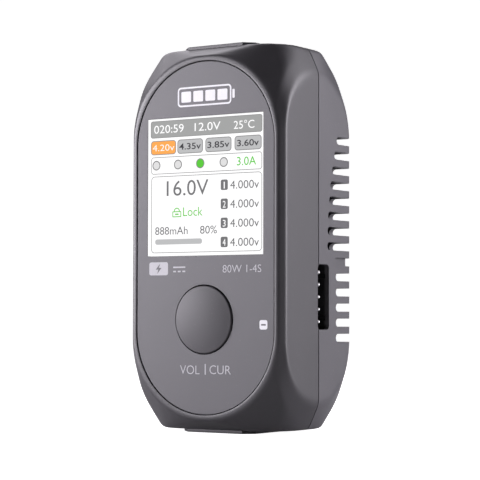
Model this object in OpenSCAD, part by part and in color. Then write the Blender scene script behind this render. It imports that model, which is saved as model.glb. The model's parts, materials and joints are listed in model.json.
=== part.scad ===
// Pocket balance battery charger, standing upright, front towards -Y.
// The origin is the middle of the face that it stands on, under the lower end pad.

/* [Case] */
// Width of the case across its two flat cheeks
case_w = 37.3; // [36:0.1:40]
// Depth of the case from front face to rear face
case_d = 27.2; // [26.8:0.1:29]
// Height of the case without its two end pads
case_h = 77.4; // [77:0.1:82]
// Height of the raised pad on each end
pad_h = 0.6; // [0.4:0.1:1.2]
// Width of the raised pad on each end
pad_w = 17.4; // [17.2:0.1:18]
// Wall thickness of both shells
wall = 1.5; // [1.2:0.1:1.6]

/* [Front] */
// Width of the front panel
panel_w = 33.2; // [33:0.1:34]
// Height of the front panel
panel_h = 70.9; // [70.5:0.1:71.4]
// Side of the square lit area of the display
screen = 27.7; // [27.5:0.1:27.8]
// Height of the middle of the screen above the middle of the case
screen_up = 10.4; // [10.2:0.1:10.6]
// Diameter of the button cap
button_d = 13.6; // [13:0.1:13.8]
// Distance of the button below the middle of the case
button_drop = 16.5; // [16.4:0.1:17]
// How far the button goes in
button_travel = 0.4; // [0.2:0.05:0.4]

/* [Side] */
// Number of cooling slots on each side
slot_count = 14; // [8:1:14]
// Spacing of the cooling slots
slot_pitch = 3.11; // [2.9:0.01:3.11]
// Height of one cooling slot
slot_gap = 1.65; // [1.2:0.05:1.8]
// Distance of the balance port below the middle of the case
port_drop = 11.9; // [11.7:0.1:12.2]
// Number of pins in the balance port
pin_count = 5; // [3:1:5]
// Spacing of the balance pins
pin_pitch = 2.5; // [2.4:0.1:2.5]

/* [Power connectors] */
// Width of a power connector
plug_w = 16; // [15.8:0.1:16.2]
// Thickness of a power connector
plug_d = 8.1; // [8:0.1:8.2]
// Diameter of a power contact
contact_d = 3.5; // [3.4:0.1:3.6]
// Spacing of the two power contacts
contact_pitch = 7.2; // [7:0.1:7.4]

/* [Inside] */
// Side of the square fan
fan_w = 25; // [24:0.5:25]
// Thickness of the fan
fan_t = 7; // [6:0.5:7]
// Number of fan blades
blade_count = 7; // [5:1:9]
// Height of the middle of the fan above the middle of the case
fan_up = 8.5; // [8:0.5:9]

/* [Hidden] */
$fn = 48;

mid_z = pad_h + case_h / 2;
half_w = case_w / 2;
half_d = case_d / 2;
half_h = case_h / 2;
end_z = half_h + pad_h;
over = 1;

// Six flat facets, each a rounded rectangle as [half width, half height, corner radius],
// and the plane through each rounded shoulder between a cheek and an end.
face_facet = [half_w - 1.05, half_h - 2.1, 17];
cheek_facet = [half_d - 1.3, half_h - 5.4, 12.2];
crown_facet = [half_w - 2.65, half_d - 3.8, 6.4];
shoulder_facet = [half_d - 0.45, half_h - 1.5, 12.4];
shoulder_x = half_w - 1.8;
skin = 0.02;

// Depth planes, from the front face back to the rear wall.
front_y = -half_d;
panel_t = 1.2;
panel_y = front_y + 0.1;
panel_back_y = panel_y + panel_t;
tape_t = 0.1;
seat_y = panel_back_y + tape_t;
seat_back_y = front_y + 2.5;
groove = 0.2;
fit_gap = 0.05;

display_size = [31.5, 33.7];
display_up = screen_up - 1.5;
glass_t = 0.9;
backlight_t = 1;
window_w = screen + 0.3;
glass_y = panel_back_y + fit_gap;
backlight_y = glass_y + glass_t;
backlight_back_y = backlight_y + backlight_t;

front_board_size = [30, 63];
front_board_y = front_y + 8.1;
front_board_t = 1;
front_board_back_y = front_board_y + front_board_t;
power_board_size = [32, 48];
power_board_t = 1.6;
power_board_back_y = -1.05;
power_board_y = power_board_back_y - power_board_t;
inner_rear_y = half_d - wall;

button_r = button_d / 2;
button_gap = 0.2;
flange_y = seat_back_y + 0.1;
flange_t = 0.8;
cap_edge_y = front_y - 0.15;
dome_h = 0.75;
switch_w = 6;
plunger_r = 1.7;
plunger_front_y = front_board_y - 4.3;
switch_front_y = front_board_y - 3.4;
cover_t = 0.3;
switch_dome_y = front_board_y - 0.6;
switch_dome_h = 0.55;
plunger_back_y = switch_dome_y - switch_dome_h - 0.05 - button_travel;

screw_x = 11.5;
screw_z = 29.5;
screw_r = 1;
screw_seat_y = half_d - 5.6;
insert_r = 1.6;
insert_l = 4;
screw_end_y = front_board_y - 3;

spacer_x = 13.5;
spacer_z = 21.4;

plug_end = end_z - 0.3;
plug_l = 14.4;
plug_back = plug_end - plug_l;
plug_chamfer = 2.3;
socket_wall = 1.1;
socket_depth = 8.5;
pin_recess = 1;
shank_r = contact_d / 2 + 0.3;

fan_r = fan_w / 2 - 0.9;
fan_back_y = inner_rear_y - 0.15;
fan_y = fan_back_y - fan_t;
fan_hole = fan_w / 2 - 2.5;
hub_r = 5.8;
sink_y = power_board_back_y + 1.5;
sink_base_t = 1.3;
sink_back_y = fan_y - 0.1;

port_y = 1.85;
port_size = [4.4, 13.2];
header_size = [5.75, 14.9];
header_out = half_w - 0.9;
header_l = 7;
pin_w = 0.64;

case_grey = [0.29, 0.29, 0.31];
panel_grey = [0.36, 0.36, 0.39];
board_green = [0.07, 0.30, 0.18];
chip_black = [0.06, 0.06, 0.07];
steel = [0.72, 0.73, 0.75];
brass = [0.80, 0.64, 0.30];
gold = [0.86, 0.70, 0.36];

// A rounded rectangle, as four corner circles for a hull.
module corners(facet, inset) {
    radius = max(facet[2] - inset, 1);
    for (sx = [-1, 1], sy = [-1, 1])
        translate([sx * (facet[0] - inset - radius), sy * (facet[1] - inset - radius)])
            circle(radius, $fn = 40);
}

// A flat plate across Y, X or Z, inside the plane given.
module plate_y(y) {
    translate([0, y + (y < 0 ? skin : 0), 0]) rotate([90, 0, 0]) linear_extrude(skin) children();
}
module plate_x(x) {
    translate([x - (x < 0 ? 0 : skin), 0, 0]) rotate([90, 0, 90]) linear_extrude(skin) children();
}
module plate_z(z) {
    translate([0, 0, z - (z < 0 ? 0 : skin)]) linear_extrude(skin) children();
}

// The form of the case, every facet moved inwards, and the front one by its own amount.
module case_form(inset, front_inset) {
    hull() {
        plate_y(front_y + front_inset) corners(face_facet, inset);
        plate_y(half_d - inset) corners(face_facet, inset);
        for (side = [-1, 1]) {
            plate_x(side * (half_w - inset)) corners(cheek_facet, inset);
            plate_x(side * (shoulder_x - inset)) corners(shoulder_facet, inset);
            plate_z(side * (half_h - inset)) corners(crown_facet, inset);
        }
    }
}

// A flat shape in the XZ plane, about the middle of the case, made solid from y0 to y1.
module slab(y0, y1) {
    translate([0, y1, 0]) rotate([90, 0, 0]) linear_extrude(y1 - y0) children();
}
// A box as [width, height] round x and z, from y0 to y1.
module block(x, z, size, y0, y1) {
    slab(y0, y1) translate([x, z]) square(size, center = true);
}
// A round post along Y.
module post(x, z, radius, y0, y1) {
    slab(y0, y1) translate([x, z]) circle(radius);
}
module at_middle() {
    translate([0, 0, mid_z]) children();
}
module four_ways(x, z) {
    for (sx = [-1, 1], sz = [-1, 1]) translate([sx * x, 0, sz * z]) children();
}
// A tall shape with round ends.
module pill(w, h) {
    square([w, h - w], center = true);
    for (side = [-1, 1]) translate([0, side * (h - w) / 2]) circle(w / 2);
}
module round_rect(w, h, radius) {
    square([w - 2 * radius, h], center = true);
    square([w, h - 2 * radius], center = true);
    for (sx = [-1, 1], sy = [-1, 1])
        translate([sx * (w / 2 - radius), sy * (h / 2 - radius)]) circle(radius);
}
// The keyed outline of a power connector: two corners of one end are cut off.
module plug_outline(grow) {
    w = plug_w / 2 + grow;
    d = plug_d / 2 + grow;
    polygon([[-w, -d], [w - plug_chamfer, -d], [w, plug_chamfer - d],
        [w, d - plug_chamfer], [w - plug_chamfer, d], [-w, d]]);
}

// The raised pads on both ends, with the shells' walls behind them.
module end_pads() {
    cut = 2;
    w = pad_w / 2;
    d = crown_facet[1];
    for (side = [-1, 1])
        translate([0, 0, side * (half_h - wall / 2 + pad_h / 2)])
            linear_extrude(wall + pad_h, center = true)
                polygon([[cut - w, -d], [w - cut, -d], [w, cut - d], [w, d - cut],
                    [w - cut, d], [cut - w, d], [-w, d - cut], [-w, cut - d]]);
}
// The input plug's hole is below and the output plug's well is above.
module plug_holes() {
    for (side = [-1, 1])
        translate([0, 0, side * (half_h + pad_h - wall)])
            linear_extrude(2 * wall + 4 * pad_h, center = true) plug_outline(side < 0 ? fit_gap : 0.15);
}
module port_hole() {
    translate([half_w - wall / 2, port_y, -port_drop]) rotate([90, 0, 90])
        linear_extrude(2 * wall, center = true) round_rect(port_size[0], port_size[1], 0.9);
    translate([header_out / 2, port_y, -port_drop])
        cube([header_out, header_size[0] + 2 * fit_gap, header_size[1] + 2 * fit_gap], center = true);
}
// The hollow walls of both shells together, before they part at y = 0.
module case_walls() {
    difference() {
        union() {
            case_form(0, 0);
            end_pads();
        }
        case_form(wall, seat_back_y - front_y);
        plug_holes();
        port_hole();
    }
}
// The half of space in front of the parting plane, or behind it.
module half_space(side) {
    translate([0, side * case_d, 0]) cube([2 * case_w, 2 * case_d, 2 * case_h], center = true);
}

module front_shell() color(case_grey) at_middle() difference() {
    union() {
        intersection() {
            case_walls();
            half_space(-1);
        }
        four_ways(screw_x, screw_z) post(0, 0, 2.6, seat_back_y - 0.6, front_board_y);
    }
    slab(front_y - over, seat_y) pill(panel_w + 2 * groove, panel_h + 2 * groove);
    block(0, display_up, display_size + [0.3, 0.3], seat_y - over, seat_back_y + over);
    post(0, -button_drop, button_r + button_gap, seat_y - over, seat_back_y + over);
    four_ways(screw_x, screw_z) post(0, 0, insert_r, front_board_y - insert_l, front_board_y + over);
}

// The cooling slots stand in a row, numbered from the top. Their front ends follow a wide arc.
slot_arc_r = 66;
slot_arc_z = -2;
slot_front_y = 3.4;
slot_low_front_y = 6.8;
slot_rear_x = half_w - 4.75;
slot_port_row = 9;
function slot_z(i) = (slot_count + 1 - 2 * i) / 2 * slot_pitch;
function slot_y(i) = slot_front_y + pow(slot_z(i) - slot_arc_z, 2) / (2 * slot_arc_r);
// One slot through the cheek from y back, and round on to the rear wall.
module slot(z, y) {
    front = y + slot_gap / 2;
    inner = slot_rear_x + slot_gap / 2;
    translate([inner, front, z - slot_gap / 2]) cube([case_w, case_d, slot_gap]);
    translate([half_w, front, z]) rotate([0, 90, 0]) cylinder(r = slot_gap / 2, h = 4 * wall, center = true);
    translate([inner, half_d, z]) rotate([90, 0, 0]) cylinder(r = slot_gap / 2, h = 4 * wall, center = true);
}
module left_slots() {
    mirror([1, 0, 0]) for (i = [1 : slot_count]) slot(slot_z(i), slot_y(i));
}
// Beside the balance port the slots are shorter, and the first of them is only a groove.
module right_slots() {
    groove_depth = 0.7;
    for (i = [1 : slot_port_row - 1]) slot(slot_z(i), slot_y(i));
    difference() {
        slot(slot_z(slot_port_row), slot_low_front_y - 0.5);
        case_form(groove_depth, groove_depth);
    }
    for (i = [slot_port_row + 1 : slot_count]) slot(slot_z(i), slot_low_front_y);
}
// The fan draws air in through a round field of slots in the rear wall.
module rear_grille() {
    rows = 3;
    for (i = [-rows : rows]) {
        length = 2 * sqrt(pow(fan_r - 0.6, 2) - pow(i * slot_pitch, 2));
        slab(inner_rear_y - over, half_d + over) translate([0, fan_up + i * slot_pitch]) {
            square([length - slot_gap, slot_gap], center = true);
            for (side = [-1, 1]) translate([side * (length - slot_gap) / 2, 0]) circle(slot_gap / 2);
        }
    }
}
module rear_shell() color(case_grey) at_middle() difference() {
    union() {
        intersection() {
            case_walls();
            half_space(1);
        }
        four_ways(screw_x, screw_z) {
            post(0, 0, 3.2, 0, inner_rear_y + 0.6);
            post(0, 0, 2.4, front_board_back_y, 0);
        }
    }
    left_slots();
    right_slots();
    rear_grille();
    four_ways(screw_x, screw_z) {
        post(0, 0, screw_r + 0.15, front_board_back_y - over, half_d);
        post(0, 0, 2.1, screw_seat_y, half_d + over);
    }
}

// The panel's outline, with its screen opening and button hole.
module panel_outline(shrink) {
    difference() {
        pill(panel_w - 2 * shrink, panel_h - 2 * shrink);
        translate([0, screen_up]) square(window_w + 2 * fit_gap + 2 * shrink, center = true);
        translate([0, -button_drop]) circle(button_r + button_gap + shrink);
    }
}
module front_panel() color(panel_grey) at_middle() slab(panel_y, panel_back_y) panel_outline(0);
// The double-sided tape covers the seat, beside the opening for the display.
module panel_tape() color("whitesmoke") at_middle() slab(panel_back_y, seat_y) difference() {
    panel_outline(0.6);
    translate([0, display_up]) square(display_size + [0.4, 0.4], center = true);
}
module display_window() color("white", 0.4) at_middle()
    block(0, screen_up, [window_w, window_w], panel_y, panel_back_y);
module display_glass() color("gainsboro") at_middle()
    block(0, display_up, display_size, glass_y, backlight_y);
module display_backlight() color("white") at_middle()
    block(0, display_up, display_size, backlight_y, backlight_back_y);

// A flat flexible cable, as a folded strip of even width.
cable_w = 12;
cable_t = 0.15;
socket_z = 3;
socket_t = 1.1;
module display_cable() color("peru") at_middle() {
    foot_z = display_up - display_size[1] / 2 + 0.8;
    end_y = front_board_y - socket_t - cable_t;
    path = [[backlight_back_y, foot_z], [backlight_back_y + 1.2, foot_z],
        [end_y - 1.2, socket_z - 4], [end_y, socket_z - 2], [end_y, socket_z + 1]];
    edge = [for (p = path) p + [cable_t, -cable_t]];
    back = [for (i = [len(edge) - 1 : -1 : 0]) edge[i]];
    translate([-cable_w / 2, 0, 0]) rotate([90, 0, 90]) linear_extrude(cable_w)
        polygon(concat(path, back));
}
module display_socket() color("ivory") at_middle()
    block(0, socket_z, [14, 4], front_board_y - socket_t, front_board_y);

// The cap's section from its axis outwards: a shallow dome, a skirt, a flange and a middle stem.
module button_cap() color(panel_grey) at_middle() {
    dome_r = (button_r * button_r + dome_h * dome_h) / (2 * dome_h);
    dome_a = asin(button_r / dome_r);
    steps = 12;
    edge_h = flange_y + flange_t - cap_edge_y;
    roof_h = edge_h - 1;
    stem_r = 2;
    skirt_r = button_r - 1.2;
    stem_end = flange_y + flange_t - plunger_front_y;
    dome = [for (i = [0 : steps])
        [dome_r * sin(dome_a * i / steps), edge_h + dome_h - dome_r * (1 - cos(dome_a * i / steps))]];
    rest = [[button_r, flange_t], [button_r + 0.9, flange_t], [button_r + 0.9, 0], [skirt_r, 0],
        [skirt_r, roof_h], [stem_r, roof_h], [stem_r, stem_end], [0, stem_end]];
    translate([0, flange_y + flange_t, -button_drop]) rotate([90, 0, 0])
        rotate_extrude() polygon(concat(dome, rest));
}
module switch_plunger() color(chip_black) at_middle() {
    post(0, -button_drop, plunger_r, plunger_front_y, switch_front_y + cover_t + 0.1);
    post(0, -button_drop, plunger_r + 0.3, switch_front_y + cover_t + 0.1, plunger_back_y);
}
module switch_cover() color(steel) at_middle() difference() {
    block(0, -button_drop, [switch_w, switch_w], switch_front_y, switch_front_y + cover_t);
    post(0, -button_drop, plunger_r + 0.1, switch_front_y - over, switch_front_y + over);
}
module switch_housing() color(chip_black) at_middle() difference() {
    block(0, -button_drop, [switch_w, switch_w], switch_front_y + cover_t, front_board_y);
    post(0, -button_drop, plunger_r + 0.6, switch_front_y, switch_dome_y);
}
module switch_dome() color(steel) at_middle() translate([0, switch_dome_y, -button_drop])
    rotate([90, 0, 0]) rotate_extrude()
        polygon([[0, switch_dome_h], [1, 0.45], [2.1, 0.05], [2.1, 0], [1.8, 0], [0.9, 0.3],
            [0, switch_dome_h - 0.15]]);

module front_board() color(board_green) at_middle() difference() {
    slab(front_board_y, front_board_back_y) round_rect(front_board_size[0], front_board_size[1], 3);
    four_ways(screw_x, screw_z) post(0, 0, screw_r + 0.15, front_board_y - over, front_board_back_y + over);
}
module microcontroller() color(chip_black) at_middle()
    block(-8, 13, [7, 7], front_board_y - 0.9, front_board_y);
module buzzer() color(chip_black) at_middle() difference() {
    post(8.5, 15, 4.5, front_board_y - 4, front_board_y);
    post(8.5, 15, 1, front_board_y - 4 - over, front_board_y - 3);
}
module board_link() color(chip_black) at_middle()
    block(-13.6, -8, [3, 16], front_board_back_y, power_board_y);
module board_spacers() color(brass) at_middle() four_ways(spacer_x, spacer_z) difference() {
    slab(front_board_back_y, power_board_y) circle(2.1, $fn = 6);
    post(0, 0, screw_r, front_board_back_y - over, power_board_y + over);
}
module board_screws() color(steel) at_middle() four_ways(spacer_x, spacer_z) {
    post(0, 0, screw_r, front_board_back_y + 0.1, power_board_back_y);
    post(0, 0, 1.75, power_board_back_y, power_board_back_y + 1.1);
}
module power_board() color(board_green) at_middle() difference() {
    slab(power_board_y, power_board_back_y) round_rect(power_board_size[0], power_board_size[1], 1.5);
    four_ways(spacer_x, spacer_z) post(0, 0, screw_r, power_board_y - over, power_board_back_y + over);
}

module mosfets() color(chip_black) at_middle()
    for (x = [-9, -3, 3, 9], z = [-6, 6])
        block(x, fan_up + z, [5, 6], power_board_back_y, power_board_back_y + 1);
module thermal_pad() color("lightsteelblue") at_middle()
    block(0, fan_up, [25, 20], power_board_back_y + 1, sink_y);
// The sink's fins run across, towards the slots in both cheeks.
module heat_sink() color("silver") at_middle() difference() {
    fins = 8;
    union() {
        block(0, fan_up, [fan_w, fan_w], sink_y, sink_y + sink_base_t);
        for (i = [0 : fins])
            block(0, fan_up + (i / fins - 0.5) * (fan_w - 1), [fan_w, 1], sink_y, sink_back_y);
        translate([0, 0, fan_up]) four_ways(fan_hole, fan_hole) post(0, 0, 2.2, sink_y, sink_back_y);
    }
    translate([0, 0, fan_up]) four_ways(fan_hole, fan_hole)
        post(0, 0, screw_r, sink_y + sink_base_t, sink_back_y + over);
}
module fan_screws() color(steel) at_middle() translate([0, 0, fan_up]) four_ways(fan_hole, fan_hole) {
    post(0, 0, screw_r, sink_y + sink_base_t, fan_back_y - 1.2);
    post(0, 0, 1.8, fan_back_y - 1.2, fan_back_y);
}
module fan_frame() color(chip_black) at_middle() translate([0, 0, fan_up]) difference() {
    spoke = 1.6;
    union() {
        difference() {
            slab(fan_y, fan_back_y) round_rect(fan_w, fan_w, 2.2);
            post(0, 0, fan_r, fan_y - over, fan_back_y + over);
        }
        post(0, 0, hub_r - 0.4, fan_y, fan_y + 0.8);
        for (a = [90, 210, 330])
            slab(fan_y, fan_y + 0.8) rotate(a) translate([0, -spoke / 2]) square([fan_r + 0.3, spoke]);
    }
    post(0, 0, 1.6, fan_y - over, fan_y + 2);
    four_ways(fan_hole, fan_hole) {
        post(0, 0, screw_r + 0.1, fan_y - over, fan_back_y + over);
        post(0, 0, 1.85, fan_back_y - 1.25, fan_back_y + over);
    }
}

// The rotor is a cup with pitched blades round it, open towards the stator.
blade_pitch = 38;
rotor_y = fan_y + 1.1;
rotor_back_y = fan_back_y - 0.5;
cup_t = 0.8;
module fan_rotor() color(chip_black) at_middle() translate([0, 0, fan_up]) {
    blade_d = rotor_back_y - rotor_y - 0.4;
    blade_mid = (rotor_y + rotor_back_y) / 2;
    difference() {
        post(0, 0, hub_r, rotor_y, rotor_back_y);
        post(0, 0, hub_r - cup_t, rotor_y - over, rotor_back_y - cup_t);
        post(0, 0, 0.75, rotor_y, rotor_back_y + over);
    }
    intersection() {
        slab(blade_mid - blade_d / 2, blade_mid + blade_d / 2) difference() {
            circle(fan_r - 0.45);
            circle(hub_r - 0.2);
        }
        for (i = [0 : blade_count - 1])
            translate([0, blade_mid, 0]) rotate([0, i * 360 / blade_count, 0])
                translate([fan_r / 2 + 3, 0, 0]) rotate([blade_pitch, 0, 0])
                    cube([fan_r, 0.7, 4 * blade_d], center = true);
    }
}
module fan_magnet() color("dimgray") at_middle() translate([0, 0, fan_up]) difference() {
    post(0, 0, hub_r - cup_t, rotor_y + 0.3, rotor_back_y - cup_t - 0.3);
    post(0, 0, hub_r - cup_t - 0.6, rotor_y, rotor_back_y);
}
module fan_shaft() color(steel) at_middle() post(0, fan_up, 0.75, fan_y + 0.3, rotor_back_y);
module fan_bearing() color(brass) at_middle() difference() {
    post(0, fan_up, 1.6, fan_y + 0.1, rotor_back_y - cup_t - 0.4);
    post(0, fan_up, 0.78, fan_y, rotor_back_y);
}
module fan_stator() color("chocolate") at_middle() translate([0, 0, fan_up]) {
    difference() {
        post(0, 0, 2.4, rotor_y, rotor_back_y - cup_t - 0.6);
        post(0, 0, 1.6, rotor_y - over, rotor_back_y);
    }
    for (a = [0 : 90 : 270]) rotate([0, a, 0])
        translate([3.1, (rotor_y + rotor_back_y - cup_t) / 2, 0]) cube([1.8, 2.6, 2.4], center = true);
}

// Two wires leave the fan's side, turn and drop into their socket on the power board.
lead_z = fan_up + 8.5;
lead_x = -14.6;
lead_socket_h = 3.5;
module fan_socket() color("ivory") at_middle()
    block(lead_x, lead_z, [2.6, 4.4], power_board_back_y, power_board_back_y + lead_socket_h);
module fan_lead() color("firebrick") at_middle() for (side = [-1, 1]) {
    bend = 1.2;
    wire_r = 0.4;
    run_y = fan_y + 1.2;
    socket_y = power_board_back_y + lead_socket_h;
    translate([0, 0, lead_z + side * 0.8]) {
        post(lead_x, 0, wire_r, socket_y, run_y - bend);
        translate([lead_x + bend, run_y - bend, 0]) rotate([0, 0, 90])
            rotate_extrude(angle = 90) translate([bend, 0]) circle(wire_r);
        translate([lead_x + bend, run_y, 0]) rotate([0, 90, 0])
            cylinder(r = wire_r, h = -fan_w / 2 - lead_x - bend);
    }
}

inductor_x = -8.7;
inductor_z = -13.2;
inductor_w = 12.6;
inductor_h = 7;
module inductor_drum() color("darkslategray") at_middle() translate([inductor_x, 0, inductor_z]) {
    y0 = power_board_back_y;
    post(0, 0, 5.4, y0, y0 + 1.4);
    post(0, 0, 2.6, y0 + 1.4, y0 + inductor_h - 1.4);
    post(0, 0, 5.4, y0 + inductor_h - 1.4, y0 + inductor_h);
}
module inductor_winding() color("orangered") at_middle() difference() {
    y0 = power_board_back_y;
    post(inductor_x, inductor_z, 5.1, y0 + 1.4, y0 + inductor_h - 1.4);
    post(inductor_x, inductor_z, 2.6, y0, y0 + inductor_h);
}
module inductor_shield() color("darkslategray") at_middle() difference() {
    y0 = power_board_back_y;
    slab(y0, y0 + inductor_h) translate([inductor_x, inductor_z]) round_rect(inductor_w, inductor_w, 2);
    post(inductor_x, inductor_z, 5.6, y0 - over, y0 + inductor_h + over);
}
module capacitors() color("midnightblue") at_middle() for (z = [-8.8, -17.6]) {
    can_r = 4;
    y0 = power_board_back_y;
    block(3.6, z, [8.2, 8.2], y0, y0 + 0.8);
    post(3.6, z, can_r, y0 + 0.8, y0 + 1.8);
    post(3.6, z, can_r - 0.3, y0 + 1.8, y0 + 2.2);
    post(3.6, z, can_r, y0 + 2.2, y0 + 10);
}
module ceramic_capacitors() color("tan") at_middle() for (i = [-3 : 3])
    block(i * 3.2, -6, [2.5, 3.2], power_board_y - 1.6, power_board_y);
module current_shunts() color("dimgray") at_middle() for (z = [-1, 7])
    block(-14.4, z, [2.5, 5], power_board_back_y, power_board_back_y + 0.6);
module balance_resistors() color(chip_black) at_middle() for (i = [0 : pin_count - 2])
    block(14.4, i * 4.5 - 0.5, [2.5, 3.4], power_board_back_y, power_board_back_y + 0.6);
module temperature_sensor() color("tan") at_middle()
    block(0, fan_up, [0.9, 1.6], power_board_back_y, power_board_back_y + 0.6);

// The balance port's shrouded header lies on the power board and opens through the cheek.
module balance_header() color(chip_black) at_middle() translate([header_out, port_y, -port_drop]) {
    floor_t = 2;
    difference() {
        translate([-header_l, -header_size[0] / 2, -header_size[1] / 2])
            cube([header_l, header_size[0], header_size[1]]);
        translate([floor_t - header_l, -port_size[0] / 2, -port_size[1] / 2])
            cube([header_l, port_size[0], port_size[1]]);
        for (i = [0 : pin_count - 1])
            translate([-header_l, 0, (i - (pin_count - 1) / 2) * pin_pitch])
                cube([2 * header_l, pin_w, pin_w], center = true);
    }
}
module balance_pins() color(gold) at_middle() translate([header_out, port_y, -port_drop]) {
    tail = 1.4;
    leg = port_y - power_board_back_y + pin_w / 2;
    for (i = [0 : pin_count - 1])
        translate([-header_l - tail, 0, (i - (pin_count - 1) / 2) * pin_pitch - pin_w / 2]) {
            translate([0, -pin_w / 2, 0]) cube([header_l + tail - 0.1, pin_w, pin_w]);
            translate([0, pin_w / 2 - leg, 0]) cube([pin_w, leg, pin_w]);
        }
}

// The input plug is at the lower end: two pins in a keyed socket.
module input_connector() color("darkgoldenrod") at_middle() difference() {
    translate([0, 0, -plug_end]) linear_extrude(plug_l) plug_outline(0);
    translate([0, 0, -plug_end - over]) linear_extrude(socket_depth + over) plug_outline(-socket_wall);
    for (side = [-1, 1])
        translate([side * contact_pitch / 2, 0, -plug_end]) cylinder(r = shank_r, h = plug_l + over);
}
// A solder tail leaves each contact and lies on the power board.
module contact_tail() {
    tail = 2.4;
    translate([-1.1, power_board_back_y, plug_back - tail]) cube([2.2, -power_board_back_y, tail]);
}
// Each pin has a thicker shank where the floor of the socket holds it.
module input_pins() color(gold) at_middle() for (side = [-1, 1])
    translate([side * contact_pitch / 2, 0, 0]) {
        translate([0, 0, pin_recess - plug_end]) cylinder(d = contact_d, h = socket_depth - pin_recess);
        translate([0, 0, socket_depth - plug_end]) cylinder(r = shank_r, h = plug_l - socket_depth);
        mirror([0, 0, 1]) contact_tail();
    }
// The output plug is at the upper end: a nose with two sleeves, in a well for the mating shroud.
sleeve_t = 0.5;
sleeve_depth = 10;
module output_connector() color("darkgoldenrod") at_middle() difference() {
    union() {
        translate([0, 0, plug_back]) linear_extrude(plug_l - socket_depth) plug_outline(0);
        translate([0, 0, plug_back]) linear_extrude(plug_l) plug_outline(-socket_wall - 0.15);
    }
    for (side = [-1, 1])
        translate([side * contact_pitch / 2, 0, plug_back - over])
            cylinder(r = contact_d / 2 + sleeve_t, h = plug_l + 2 * over);
}
module output_contacts() color(gold) at_middle() for (side = [-1, 1])
    translate([side * contact_pitch / 2, 0, 0]) {
        difference() {
            translate([0, 0, plug_back]) cylinder(r = contact_d / 2 + sleeve_t, h = plug_l - 0.4);
            translate([0, 0, plug_end - 0.4 - sleeve_depth]) cylinder(d = contact_d, h = sleeve_depth + over);
        }
        contact_tail();
    }

module case_screws() color(steel) at_middle() four_ways(screw_x, screw_z) difference() {
    union() {
        post(0, 0, screw_r, screw_end_y, screw_seat_y);
        post(0, 0, 1.9, screw_seat_y, screw_seat_y + 1.3);
    }
    slab(screw_seat_y + 0.5, screw_seat_y + 2) circle(0.75, $fn = 6);
}
module case_inserts() color(brass) at_middle() four_ways(screw_x, screw_z) difference() {
    post(0, 0, insert_r, front_board_y - insert_l, front_board_y);
    post(0, 0, screw_r, front_board_y - insert_l - over, front_board_y + over);
}

front_shell();
rear_shell();
front_panel();
panel_tape();
display_window();
display_glass();
display_backlight();
display_cable();
display_socket();
button_cap();
switch_plunger();
switch_cover();
switch_housing();
switch_dome();
front_board();
microcontroller();
buzzer();
board_link();
board_spacers();
board_screws();
power_board();
mosfets();
thermal_pad();
heat_sink();
fan_screws();
fan_frame();
fan_rotor();
fan_magnet();
fan_shaft();
fan_bearing();
fan_stator();
fan_lead();
fan_socket();
inductor_drum();
inductor_winding();
inductor_shield();
capacitors();
ceramic_capacitors();
current_shunts();
balance_resistors();
temperature_sensor();
balance_header();
balance_pins();
input_connector();
input_pins();
output_connector();
output_contacts();
case_screws();
case_inserts();
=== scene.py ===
import functools
import json
import math

import bmesh
import bpy
import numpy as np
from mathutils import Matrix, Vector


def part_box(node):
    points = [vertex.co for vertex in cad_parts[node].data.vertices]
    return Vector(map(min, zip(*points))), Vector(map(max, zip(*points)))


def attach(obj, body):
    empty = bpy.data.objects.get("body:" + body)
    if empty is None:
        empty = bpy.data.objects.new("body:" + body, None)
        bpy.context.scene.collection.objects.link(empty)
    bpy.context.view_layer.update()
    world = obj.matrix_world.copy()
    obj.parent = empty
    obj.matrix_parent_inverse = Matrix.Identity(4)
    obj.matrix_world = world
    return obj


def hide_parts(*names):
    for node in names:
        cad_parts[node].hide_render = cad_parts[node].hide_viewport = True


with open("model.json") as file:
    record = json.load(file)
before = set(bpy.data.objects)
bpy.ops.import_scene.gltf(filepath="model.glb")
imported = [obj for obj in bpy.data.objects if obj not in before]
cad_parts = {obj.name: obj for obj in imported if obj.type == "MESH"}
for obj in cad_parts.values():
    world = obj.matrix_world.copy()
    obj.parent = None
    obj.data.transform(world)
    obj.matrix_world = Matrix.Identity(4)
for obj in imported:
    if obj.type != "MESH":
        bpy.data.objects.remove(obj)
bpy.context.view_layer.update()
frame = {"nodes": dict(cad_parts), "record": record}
mm = 0.001


def boxMm(node):
    low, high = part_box(node)
    return low / mm, high / mm


def newObject(name, data):
    piece = bpy.data.objects.new(name, data)
    bpy.context.scene.collection.objects.link(piece)
    return piece


frontLow, frontHigh = boxMm("front_shell")
rearLow, rearHigh = boxMm("rear_shell")
midZ = (frontLow.z + frontHigh.z) / 2


# Camera, at the viewing angle, before anything else is made
cameraSet = {"azimuth": 33.56, "elevation": -2.42, "roll": -0.11, "distance": 374.0,
    "aim": (0.13, -0.69, 39.2), "lens": 135.95}


def placeCamera(s):
    data = bpy.data.cameras.new("camera")
    data.lens = s["lens"]
    data.sensor_width = 36.0
    data.clip_start = 0.01
    camera = newObject("camera", data)
    around, up, roll = (math.radians(s[k]) for k in ("azimuth", "elevation", "roll"))
    back = Vector((math.sin(around) * math.cos(up), -math.cos(around) * math.cos(up), math.sin(up)))
    turn = back.to_track_quat("Z", "Y").to_matrix() @ Matrix.Rotation(-roll, 3, "Z")
    camera.matrix_world = Matrix.Translation((Vector(s["aim"]) + back * s["distance"]) * mm) @ turn.to_4x4()
    bpy.context.scene.camera = camera


placeCamera(cameraSet)
print("camera placed")


# Helpers that every piece uses. Lengths are in millimetres until the mesh is made.
def smoothed(mesh, angle):
    mesh.shade_smooth()
    mesh.set_sharp_from_angle(angle=math.radians(angle))


def meshPiece(name, points, faces):
    mesh = bpy.data.meshes.new(name)
    mesh.from_pydata([Vector(p) * mm for p in points], [], faces)
    mesh.update()
    return newObject(name, mesh)


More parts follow.
